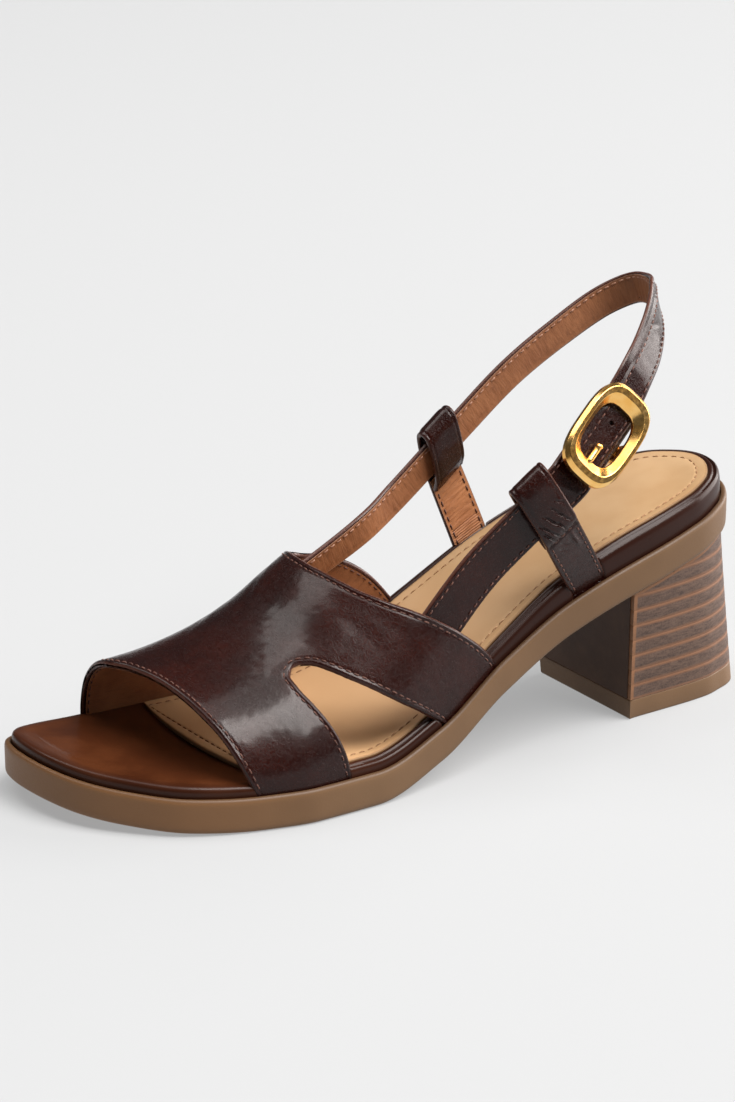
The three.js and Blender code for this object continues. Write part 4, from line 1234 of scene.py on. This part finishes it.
def eased(corners, ease):
    """Section with each corner turned in a narrow round, and points that hold the flats beside it."""
    corners = np.array(corners)
    points = [corners[0]]
    for before, corner, after in zip(corners, corners[1:], corners[2:]):
        back, on = before - corner, after - corner
        short = min(ease, 0.3 * np.hypot(*back), 0.3 * np.hypot(*on))
        back, on = unit(back) * short, unit(on) * short
        points += [corner + 1.5 * back, corner + back, corner + 0.28 * (back + on), corner + on, corner + 1.5 * on]
    return np.array([*points, corners[-1]])


PRONG_SHOWN = 7.6


def make_buckle(gold):
    turns = 2 * np.pi * np.arange(260) / 260
    corner = lambda value: np.sign(value) * np.abs(value) ** (2 / FRAME_FULLNESS)
    rings = []
    for inset, height in eased(FRAME_SIDE, FRAME_EASE):
        along = (FRAME_LENGTH / 2 - inset * FRAME_END) * corner(np.cos(turns))
        across = (FRAME_WIDTH / 2 - inset * FRAME_BAR) * corner(np.sin(turns))
        rings.append(at_buckle(along, across, -height * FRAME_DEPTH))
    rings = np.stack([*rings, rings[0]])
    surface = grid(rings, np.zeros(3), close_columns=True)
    piece("buckle_frame_metal", [surface], gold, ["buckle_frame"], sharp=75)

    start = FRAME_END - FRAME_LENGTH / 2 - 1.3
    near_end = np.array([0, 0.05, 0.2, 0.5])
    middle = np.linspace(0.9, PRONG_SHOWN - 0.9, 10)
    along = np.concatenate([near_end, middle, PRONG_SHOWN - near_end[::-1]])
    end = np.minimum(along, PRONG_SHOWN - along)
    radius = PRONG_RADIUS * np.sqrt(np.clip(1 - (1 - np.clip(end / 0.9, 0, 1)) ** 2, 0.02, 1))
    radius = radius * (0.92 + 0.22 * ramp(along, PRONG_SHOWN - 2.2, PRONG_SHOWN - 0.8))
    angles = 2 * np.pi * np.arange(20) / 20
    lift = -PRONG_RADIUS - radius[:, None] * np.sin(angles)
    ring = at_buckle(start + along[:, None], radius[:, None] * np.cos(angles), lift)
    surfaces = [grid(ring, np.zeros(3), close_columns=True), cap(ring[0], ring[0]), cap(ring[-1], ring[-1])]
    piece("buckle_prong_metal", surfaces, gold, ["buckle_prong"], sharp=60)

    depth = BUCKLE_STRAP_UNDER + STRAP_THICKNESS / 2 + GAP
    arm = BUCKLE_STRAP_WIDTH / 2 + GAP
    half = KEEPER_THICKNESS / 2
    route = [(-arm - half, GAP), (-arm - half, depth - 1)]
    turn = np.radians(np.linspace(0, 90, 8))
    route += [(-arm - half + 1.6 * (1 - np.cos(a)), depth + half - 1.6 * (1 - np.sin(a))) for a in turn]
    route += [(-across, under) for across, under in route[::-1]]
    route = np.array(route)
    run = unit(np.gradient(route, axis=0))
    normal = np.stack([-run[:, 1], run[:, 0]], 1)
    w, e = KEEPER_WIDTH / 2, 0.22
    quarter = [(w, half - e), (w - e, half)]
    section = [(w, e - half), *quarter, (e - w, half), (-w, half - e), (-w, e - half)]
    section = np.array([*section, (e - w, -half), (w - e, -half)])[::-1]
    flat = route[:, None] + normal[:, None] * section[:, 1:]
    ring = at_buckle(np.broadcast_to(section[:, 0], flat.shape[:2]), flat[..., 0], flat[..., 1])
    surfaces = [grid(ring, np.zeros(3), close_columns=True), cap(ring[0], ring[0]), cap(ring[-1], ring[-1])]
    piece("buckle_keeper_metal", surfaces, gold, ["buckle_keeper"], sharp=40)


# Finishes

STUDIO_GAIN = 0.6


def tone(red, green, blue, gain=STUDIO_GAIN):
    """Linear colour of a surface that shows this screen colour, from 0 to 255, under the lights."""
    c = np.array([red, green, blue]) / 255
    return (*(gain * np.where(c <= 0.04045, c / 12.92, ((c + 0.055) / 1.055) ** 2.4)), 1.0)


def node(tree, kind, inputs=None, **settings):
    made = tree.nodes.new("ShaderNode" + kind)
    for key, value in settings.items():
        setattr(made, key, value)
    for key, value in (inputs or {}).items():
        if isinstance(value, bpy.types.NodeSocket):
            tree.links.new(value, made.inputs[key])
        else:
            made.inputs[key].default_value = value
    return made


def maths(tree, operation, *values, clamp=False):
    return node(tree, "Math", dict(enumerate(values)), operation=operation, use_clamp=clamp).outputs[0]


def soft_step(tree, value, low, high, to_low=0.0, to_high=1.0):
    inputs = {"Value": value, "From Min": low, "From Max": high, "To Min": to_low, "To Max": to_high}
    return node(tree, "MapRange", inputs, interpolation_type="SMOOTHSTEP").outputs["Result"]


def blend(tree, share, first, second):
    """Colour between two colours."""
    return node(tree, "Mix", {0: share, 6: first, 7: second}, data_type="RGBA").outputs[2]


def new_group(name, inputs, outputs):
    """Shader node group with named sockets, its inner input sockets and its output node."""
    tree = bpy.data.node_groups.new(name, "ShaderNodeTree")
    kinds = {"value": "NodeSocketFloat", "vector": "NodeSocketVector", "colour": "NodeSocketColor"}
    for socket, kind, default in inputs:
        made = tree.interface.new_socket(socket, in_out="INPUT", socket_type=kinds[kind])
        if default is not None:
            made.default_value = default
    for socket in outputs:
        tree.interface.new_socket(socket, in_out="OUTPUT", socket_type=kinds["value"])
    return tree, tree.nodes.new("NodeGroupInput").outputs, tree.nodes.new("NodeGroupOutput")


def use(tree, group, **values):
    """Places a group in a material with its own values, and gives its outputs."""
    made = tree.nodes.new("ShaderNodeGroup")
    made.node_tree = group
    for key, value in values.items():
        if isinstance(value, bpy.types.NodeSocket):
            tree.links.new(value, made.inputs[key])
        else:
            made.inputs[key].default_value = value
    return made.outputs


def noise_of(tree, vector, scale, detail=3.0, roughness=0.5, distortion=0.0):
    inputs = {"Vector": vector, "Scale": scale, "Detail": detail, "Roughness": roughness, "Distortion": distortion}
    return node(tree, "TexNoise", inputs).outputs["Fac"]


def grain_group():
    """Fine pores and cells of a leather or moulded face; size is a cell's width in mm."""
    tree, given, out = new_group(
        "fine_grain", [("Vector", "vector", None), ("Size", "value", 0.6)], ["Height", "Pores"]
    )
    scale = maths(tree, "DIVIDE", 1000.0, given["Size"])
    cells = node(tree, "TexVoronoi", {"Vector": given["Vector"], "Scale": scale}, feature="F1").outputs["Distance"]
    fuzz = noise_of(tree, given["Vector"], maths(tree, "MULTIPLY", scale, 1.9), 2.0)
    height = maths(tree, "ADD", maths(tree, "MULTIPLY", cells, 0.6), maths(tree, "MULTIPLY", fuzz, 0.5))
    tree.links.new(height, out.inputs["Height"])
    tree.links.new(soft_step(tree, cells, 0.18, 0.05), out.inputs["Pores"])
    return tree


def crinkle_group():
    """Creased glaze: thin folds that wander, in two sizes and drawn out one way; size is in mm. Fold Shade is 1 along
    the fold lines, for painted shade.
    """
    tree, given, out = new_group(
        "crinkled_glaze", [("Vector", "vector", None), ("Size", "value", 4.0)], ["Height", "Fold Shade"]
    )
    scale = maths(tree, "DIVIDE", 1000.0, given["Size"])
    drawn = node(tree, "Mapping", {"Vector": given["Vector"], "Rotation": (0.3, 0.5, 0.9), "Scale": (1, 0.42, 1)})
    folds = []
    for factor, detail, wander in ((1.0, 2.0, 1.6), (2.3, 2.0, 1.2)):
        place = drawn.outputs["Vector"] if factor == 1.0 else given["Vector"]
        value = noise_of(tree, place, maths(tree, "MULTIPLY", scale, factor), detail, 0.55, wander)
        centred = maths(tree, "ABSOLUTE", maths(tree, "SUBTRACT", value, 0.5))
        folds.append(soft_step(tree, centred, 0.0, 0.13))
    height = maths(tree, "ADD", maths(tree, "MULTIPLY", folds[0], 0.6), maths(tree, "MULTIPLY", folds[1], 0.4))
    tree.links.new(height, out.inputs["Height"])
    tree.links.new(maths(tree, "SUBTRACT", 1.0, folds[0]), out.inputs["Fold Shade"])
    return tree


def edge_highlight_and_line_group():
    """Edge band, for painted highlights and edge lines: 1 on an edge, fading over a width in mm, broken up along it.
    """
    tree, given, out = new_group(
        "edge_highlight_and_line",
        [("Vector", "vector", None), ("Inset", "value", 5.0), ("Width", "value", 0.5)],
        ["Mask"],
    )
    broken = noise_of(tree, given["Vector"], 700.0, 2.0)
    reach = maths(tree, "MULTIPLY", given["Width"], maths(tree, "ADD", broken, 0.5))
    near = maths(tree, "SUBTRACT", 1.0, maths(tree, "DIVIDE", given["Inset"], reach), clamp=True)
    tree.links.new(near, out.inputs["Mask"])
    return tree


def cloud_group():
    """Slow change of tone over a face; size is in mm."""
    tree, given, out = new_group(
        "slow_tone", [("Vector", "vector", None), ("Size", "value", 20.0)], ["Mask"]
    )
    value = noise_of(tree, given["Vector"], maths(tree, "DIVIDE", 1000.0, given["Size"]), 3.0, 0.6)
    tree.links.new(soft_step(tree, value, 0.32, 0.68), out.inputs["Mask"])
    return tree


def wrinkle_group():
    """Fine wrinkles across a strip; it reads the strip's own places in mm."""
    tree, given, out = new_group(
        "cross_wrinkles", [("Place", "vector", None), ("Spacing", "value", 1.2)], ["Height"]
    )
    parts = node(tree, "SeparateXYZ", {0: given["Place"]}).outputs
    along = maths(tree, "DIVIDE", parts["X"], given["Spacing"])
    across = maths(tree, "DIVIDE", parts["Y"], maths(tree, "MULTIPLY", given["Spacing"], 6.0))
    place = node(tree, "CombineXYZ", {0: along, 1: across, 2: 0.0}).outputs[0]
    value = noise_of(tree, place, 1.0, 3.0, 0.6, 0.4)
    tree.links.new(value, out.inputs["Height"])
    return tree


GRAIN = grain_group()
CRINKLE = crinkle_group()
EDGE_HIGHLIGHT_AND_LINE = edge_highlight_and_line_group()
CLOUD = cloud_group()
WRINKLE = wrinkle_group()


class Finish:
    """A material with its shader, its place in metres, and the piece's own places in mm."""

    def __init__(self, name, **plain):
        self.material = bpy.data.materials.new(name)
        self.material.use_nodes = True
        self.tree = self.material.node_tree
        self.shader = self.tree.nodes["Principled BSDF"]
        for key, value in plain.items():
            self.shader.inputs[key.replace("_", " ")].default_value = value
        self.place = node(self.tree, "TexCoord").outputs["Object"]
        self.lay = node(self.tree, "Attribute", attribute_name="lay").outputs["Vector"]
        parts = node(self.tree, "SeparateXYZ", {0: self.lay}).outputs
        self.u, self.v, self.w = parts["X"], parts["Y"], parts["Z"]

    def colour(self, socket):
        self.tree.links.new(socket, self.shader.inputs["Base Color"])

    def rough(self, socket):
        self.tree.links.new(socket, self.shader.inputs["Roughness"])

    def bumps(self, *layers):
        """Bump from layers of (height, depth in mm)."""
        normal = None
        for height, depth in layers:
            inputs = {"Height": height, "Distance": depth * MM, "Strength": 1.0}
            if normal:
                inputs["Normal"] = normal
            normal = node(self.tree, "Bump", inputs).outputs["Normal"]
        self.tree.links.new(normal, self.shader.inputs["Normal"])


def upper_leather():
    """Dark red-brown glazed leather with fine creases darkened by painted shade, and a painted highlight along its
    edges.
    """
    f = Finish("glazed_leather", Coat_Weight=0.36, Coat_Roughness=0.165, Specular_IOR_Level=0.12)
    cloud = use(f.tree, CLOUD, Vector=f.place, Size=26.0)["Mask"]
    crinkle = use(f.tree, CRINKLE, Vector=f.place, Size=1.9)
    grain = use(f.tree, GRAIN, Vector=f.place, Size=0.5)
    edge = use(f.tree, EDGE_HIGHLIGHT_AND_LINE, Vector=f.place, Inset=f.w, Width=0.55)["Mask"]
    base = blend(f.tree, cloud, tone(38, 10, 6), tone(56, 18, 10))
    # Painted shade: darker along the fold lines of the crinkled glaze.
    base = blend(f.tree, maths(f.tree, "MULTIPLY", crinkle["Fold Shade"], 0.3), base, tone(16, 6, 5))
    # Painted highlight: a paler band along each edge, where the rounded edge would catch the light.
    base = blend(f.tree, maths(f.tree, "MULTIPLY", edge, 0.7), base, tone(126, 82, 68))
    f.colour(base)
    f.rough(soft_step(f.tree, crinkle["Height"], 0.0, 1.0, 0.28, 0.2))
    f.bumps((crinkle["Height"], 0.07), (grain["Height"], 0.006))
    return f.material


def lining_leather(name, deep, pale):
    """Tan lining with soft wrinkles across it, painted shade in their troughs and a painted highlight along its edges.
    """
    f = Finish(name, Specular_IOR_Level=0.3)
    cloud = use(f.tree, CLOUD, Vector=f.place, Size=9.0)["Mask"]
    wrinkle = use(f.tree, WRINKLE, Place=f.lay, Spacing=0.8)["Height"]
    grain = use(f.tree, GRAIN, Vector=f.place, Size=0.5)
    edge = use(f.tree, EDGE_HIGHLIGHT_AND_LINE, Vector=f.place, Inset=f.w, Width=0.5)["Mask"]
    base = blend(f.tree, cloud, deep, pale)
    # Painted shade: darker in the troughs of the wrinkles.
    base = blend(f.tree, soft_step(f.tree, wrinkle, 0.5, 0.3, 0.0, 0.3), base, tone(104, 60, 36))
    # Painted highlight: a paler band along the lining's edges.
    base = blend(f.tree, maths(f.tree, "MULTIPLY", edge, 0.7), base, tone(186, 142, 116))
    f.colour(base)
    f.rough(soft_step(f.tree, grain["Height"], 0.1, 0.7, 0.62, 0.52))
    f.bumps((wrinkle, 0.12), (grain["Height"], 0.03))
    return f.material


def insock_leather():
    """Beige insock, a little darker towards its edge, with painted light making it paler towards the front."""
    f = Finish("insock_leather", Specular_IOR_Level=0.3)
    cloud = use(f.tree, CLOUD, Vector=f.place, Size=32.0)["Mask"]
    grain = use(f.tree, GRAIN, Vector=f.place, Size=0.4)
    edge = use(f.tree, EDGE_HIGHLIGHT_AND_LINE, Vector=f.place, Inset=f.w, Width=0.9)["Mask"]
    base = blend(f.tree, cloud, tone(204, 165, 119), tone(217, 181, 137))
    # Painted light: paler towards the front of the insock.
    base = blend(f.tree, soft_step(f.tree, f.u, 60.0, 140.0, 0.0, 0.7), base, tone(252, 203, 150))
    base = blend(f.tree, soft_step(f.tree, f.w, 6.0, 0.5, 0.0, 0.2), base, tone(190, 144, 96))
    base = blend(f.tree, maths(f.tree, "MULTIPLY", edge, 0.85), base, tone(120, 84, 46))
    base = blend(f.tree, maths(f.tree, "MULTIPLY", grain["Pores"], 0.12), base, tone(150, 105, 66))
    f.colour(base)
    f.rough(soft_step(f.tree, grain["Height"], 0.1, 0.7, 0.6, 0.5))
    f.bumps((grain["Height"], 0.02),)
    return f.material


def footbed_leather():
    """Polished wrap of the footbed: warm brown at the toe, darker along the waist and heel."""
    f = Finish("footbed_leather", Coat_Weight=0.16, Coat_Roughness=0.18, Specular_IOR_Level=0.12)
    cloud = use(f.tree, CLOUD, Vector=f.place, Size=24.0)["Mask"]
    grain = use(f.tree, GRAIN, Vector=f.place, Size=0.42)
    toe = blend(f.tree, cloud, tone(72, 36, 18), tone(96, 52, 27))
    toe = blend(f.tree, soft_step(f.tree, f.w, 5.0, 1.0, 0.0, 0.6), toe, tone(58, 28, 17))
    base = blend(f.tree, soft_step(f.tree, f.u, 120.0, 170.0), tone(52, 25, 16), toe)
    f.colour(base)
    f.rough(soft_step(f.tree, cloud, 0.0, 1.0, 0.3, 0.38))
    f.bumps((grain["Height"], 0.02),)
    return f.material


def moulded_sole():
    """Tan moulded sole, with painted light making it paler and warmer towards the toe, painted shade along its top
    edge, and paler at its lower edge.
    """
    f = Finish("moulded_sole", Specular_IOR_Level=0.4)
    cloud = use(f.tree, CLOUD, Vector=f.place, Size=40.0)["Mask"]
    grain = use(f.tree, GRAIN, Vector=f.place, Size=0.7)
    base = blend(f.tree, cloud, tone(126, 94, 62), tone(138, 104, 70))
    # Painted light: paler and warmer towards the toe.
    base = blend(f.tree, soft_step(f.tree, f.u, 150.0, 225.0, 0.0, 0.8), base, tone(160, 112, 68))
    # Painted shade along the top edge and ledge of the sole's side.
    base = blend(f.tree, soft_step(f.tree, f.v, 0.9, 1.0, 0.0, 0.75), base, tone(88, 62, 38))
    base = blend(f.tree, soft_step(f.tree, f.v, 0.07, 0.01, 0.0, 0.6), base, tone(178, 136, 104))
    f.colour(base)
    f.rough(soft_step(f.tree, grain["Height"], 0.1, 0.7, 0.58, 0.46))
    f.bumps((grain["Height"], 0.022),)
    return f.material


def stacked_leather():
    """Heel of pressed layers: grey-brown boards with thin rust lines and a rust border."""
    f = Finish("stacked_layers", Specular_IOR_Level=0.35)
    spread = node(f.tree, "VectorMath", {0: f.place, 1: (300.0, 300.0, 1500.0)}, operation="MULTIPLY").outputs[0]
    streaks = noise_of(f.tree, spread, 1.0, 4.0, 0.65)
    specks = noise_of(f.tree, f.place, 1900.0, 2.0)
    wobble = maths(f.tree, "MULTIPLY", maths(f.tree, "SUBTRACT", noise_of(f.tree, f.place, 90.0, 2.0), 0.5), 0.5)
    height = maths(f.tree, "ADD", maths(f.tree, "SUBTRACT", f.v, LIFT_HEIGHT), wobble)
    phase = maths(f.tree, "FRACT", maths(f.tree, "DIVIDE", height, HEEL_LAYER))
    off = maths(f.tree, "ABSOLUTE", maths(f.tree, "SUBTRACT", maths(f.tree, "FRACT", maths(f.tree, "ADD", phase, 0.5)), 0.5))
    line = soft_step(f.tree, off, 0.24, 0.03)
    base = blend(f.tree, soft_step(f.tree, streaks, 0.3, 0.7), tone(78, 58, 50), tone(118, 92, 78))
    base = blend(f.tree, soft_step(f.tree, specks, 0.35, 0.7, 0.0, 0.5), base, tone(130, 106, 90))
    under = soft_step(f.tree, phase, 0.72, 0.95, 0.0, 0.5)
    base = blend(f.tree, under, base, tone(62, 42, 34))
    base = blend(f.tree, maths(f.tree, "MULTIPLY", line, 0.75), base, tone(164, 114, 80))
    side = soft_step(f.tree, f.u, 1.5, 1.1)
    top = soft_step(f.tree, f.w, 1.3, 0.9)
    base = blend(f.tree, maths(f.tree, "MULTIPLY", maths(f.tree, "MAXIMUM", side, top), 0.9), base, tone(160, 112, 76))
    f.colour(base)
    f.rough(soft_step(f.tree, streaks, 0.3, 0.7, 0.62, 0.5))
    f.bumps((streaks, 0.05), (specks, 0.02))
    return f.material


def breast_cover():
    f = Finish("breast_cover", Specular_IOR_Level=0.15)
    grain = use(f.tree, GRAIN, Vector=f.place, Size=0.6)
    cloud = use(f.tree, CLOUD, Vector=f.place, Size=18.0)["Mask"]
    f.colour(blend(f.tree, cloud, tone(86, 64, 52), tone(104, 78, 62)))
    f.rough(soft_step(f.tree, grain["Height"], 0.1, 0.7, 0.6, 0.5))
    f.bumps((grain["Height"], 0.02),)
    return f.material


def buckle_gold():
    """Polished gold plating with faint brushed waves."""
    f = Finish("polished_gold", Metallic=1.0)
    cloud = use(f.tree, CLOUD, Vector=f.place, Size=6.0)["Mask"]
    fine = noise_of(f.tree, f.place, 900.0, 3.0)
    f.colour(blend(f.tree, cloud, tone(244, 186, 100, 1.0), tone(252, 206, 130, 1.0)))
    f.rough(soft_step(f.tree, fine, 0.3, 0.7, 0.18, 0.26))
    f.bumps((fine, 0.0012),)
    return f.material


def stitch_thread(name, colour, dark):
    """Waxed thread with a twist."""
    f = Finish(name, Specular_IOR_Level=0.4)
    twist = noise_of(f.tree, f.place, 2600.0, 2.0)
    f.colour(blend(f.tree, soft_step(f.tree, twist, 0.35, 0.65), dark, colour))
    f.rough(soft_step(f.tree, twist, 0.3, 0.7, 0.62, 0.48))
    f.bumps((twist, 0.03),)
    return f.material


# Stage: pale floor, soft lights, and the camera at the photograph's angle

CAMERA_AZIMUTH = 147
CAMERA_ELEVATION = 19.5
CAMERA_DISTANCE = 1.1
CAMERA_TARGET = Vector((0.054, -0.081, 0.03))
CAMERA_LENS = 109.9
LIGHT_DISTANCE = 4.5


def direction(azimuth, elevation):
    a, e = np.radians(azimuth), np.radians(elevation)
    return Vector((np.sin(a) * np.cos(e), -np.cos(a) * np.cos(e), np.sin(e)))


def make_camera():
    data = bpy.data.cameras.new("camera")
    data.lens = CAMERA_LENS
    camera = bpy.data.objects.new("camera", data)
    bpy.context.scene.collection.objects.link(camera)
    back = direction(CAMERA_AZIMUTH, CAMERA_ELEVATION)
    camera.location = CAMERA_TARGET + back * CAMERA_DISTANCE
    camera.rotation_mode = "QUATERNION"
    camera.rotation_quaternion = (-back).to_track_quat("-Z", "Y")
    bpy.context.scene.camera = camera


def make_light(name, azimuth, elevation, width, height, radiance):
    """Soft box on a wide ring round the sandal."""
    data = bpy.data.lights.new(name, "AREA")
    data.shape = "RECTANGLE"
    data.size, data.size_y, data.energy = width, height, radiance * np.pi * width * height
    data.color = (1.0, 0.95, 0.918)
    light = bpy.data.objects.new(name, data)
    bpy.context.scene.collection.objects.link(light)
    back = direction(azimuth, elevation)
    light.location = Vector((0.09, 0, 0.04)) + back * LIGHT_DISTANCE
    light.rotation_mode = "QUATERNION"
    light.rotation_quaternion = (-back).to_track_quat("-Z", "Y")


def make_floor():
    half = 6.0
    mesh = bpy.data.meshes.new("floor")
    mesh.from_pydata([(-half, -half, 0), (half, -half, 0), (half, half, 0), (-half, half, 0)], [], [(0, 1, 2, 3)])
    material = bpy.data.materials.new("pale_floor")
    material.use_nodes = True
    shader = material.node_tree.nodes["Principled BSDF"]
    shader.inputs["Base Color"].default_value = (0.221, 0.231, 0.238, 1)
    shader.inputs["Emission Color"].default_value = (0.985, 0.995, 1, 1)
    shader.inputs["Emission Strength"].default_value = 0.34
    shader.inputs["Roughness"].default_value = 0.9
    shader.inputs["Specular IOR Level"].default_value = 0.1
    mesh.materials.append(material)
    floor = bpy.data.objects.new("floor", mesh)
    bpy.context.scene.collection.objects.link(floor)
    floor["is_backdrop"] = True


def make_world():
    """Dim studio round the pale floor."""
    world = bpy.data.worlds.new("studio")
    world.use_nodes = True
    background = world.node_tree.nodes["Background"]
    background.inputs["Color"].default_value = (0.97, 0.985, 1.0, 1)
    background.inputs["Strength"].default_value = 0.08
    bpy.context.scene.world = world


def make_stage():
    make_camera()
    make_floor()
    make_world()
    make_light("overhead_box", -146, 60, 2.7, 3.9, 12.0)
    make_light("top_box", 0, 90, 3.2, 3.2, 2.0)
    make_light("far_box", 30, 58, 1.7, 2.4, 4.4)
    make_light("heel_side_box", -93, 20, 4.4, 2.9, 6.6)
    bpy.context.scene.view_settings.view_transform = "Standard"


make_stage()
leather, insock = upper_leather(), insock_leather()
lining = lining_leather("lining_leather", tone(164, 106, 69), tone(182, 121, 80))
# Lit copy of the lining leather for the medial tab: the same leather, painted brighter to stand in for light.
lit_lining_copy = lining_leather("lit_lining_copy_leather", tone(200, 132, 86), tone(218, 148, 98))
rubber, wrap, gold = moulded_sole(), footbed_leather(), buckle_gold()
dark_thread = stitch_thread("dark_thread", tone(146, 98, 82), tone(64, 34, 27))
lining_thread = stitch_thread("lining_thread", tone(214, 164, 138), tone(164, 112, 86))
pale_thread = stitch_thread("pale_thread", tone(196, 152, 104), tone(150, 104, 62))

make_sole(rubber)
make_footbed(wrap)
make_insock(insock, pale_thread)
make_heel(stacked_leather(), breast_cover(), rubber)
make_vamp(leather, lining, dark_thread)
make_sling(leather, lining, dark_thread, lining_thread)
make_buckle_strap(leather, lining, dark_thread)

sling_line = stations(SLING_ROOT, SLING, SLING_BEHIND, SLING_UNDER, SLING_WIDTH)
buckle_line = stations(
    BUCKLE_STRAP_ROOT, BUCKLE_STRAP, BUCKLE_STRAP_BEHIND, BUCKLE_STRAP_UNDER, BUCKLE_STRAP_WIDTH
)
# Creases of the tabs: lengths above the seam and places across, then width and depth; a depth under
# zero makes a ridge.
OUTER_TAB_CREASES = (
    (9.5, -5.0, 4.6, -2.6, 0.50, 0.30),
    (6.6, -5.2, 1.6, -3.0, 0.55, 0.34),
    (5.0, -2.6, 1.6, -1.0, 0.45, 0.28),
    (11.0, -2.6, 7.0, -0.4, 0.45, 0.26),
    (8.4, -1.6, 4.6, 0.6, 0.50, 0.32),
    (6.4, 0.2, 2.6, 1.6, 0.45, 0.30),
    (11.6, 0.4, 8.2, 2.6, 0.45, 0.26),
    (9.2, 1.2, 5.6, 3.4, 0.50, 0.32),
    (5.8, 2.8, 3.2, 4.6, 0.45, 0.28),
    (3.4, -0.2, 1.0, 1.2, 0.40, 0.24),
    (12.2, 3.0, 9.8, 4.8, 0.45, 0.20),
    (-0.9, 2.4, -8.5, 3.4, 0.95, -0.40),
    (-2.0, -2.0, -5.0, 0.4, 0.60, 0.18),
    (-4.0, -3.0, -7.0, -0.8, 0.60, 0.16),
)
INNER_TAB_CREASES = ((8, -4, 4, -1, 0.7, 0.10), (9, 1, 5, 4, 0.7, 0.10))
make_tab(
    "tab_lateral", TAB_OUTER, buckle_line, BUCKLE_STRAP_WIDTH, 1, OUTER_TAB_CREASES, (),
    leather, lining, dark_thread,
)
make_tab(
    "tab_medial", TAB_INNER, sling_line, SLING_WIDTH, -1, INNER_TAB_CREASES, ((0.5, 12, 0.75, 0.13),),
    leather, lit_lining_copy, dark_thread,
)
make_buckle(gold)

SIZES["visual"] = [list(corner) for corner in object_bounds()]
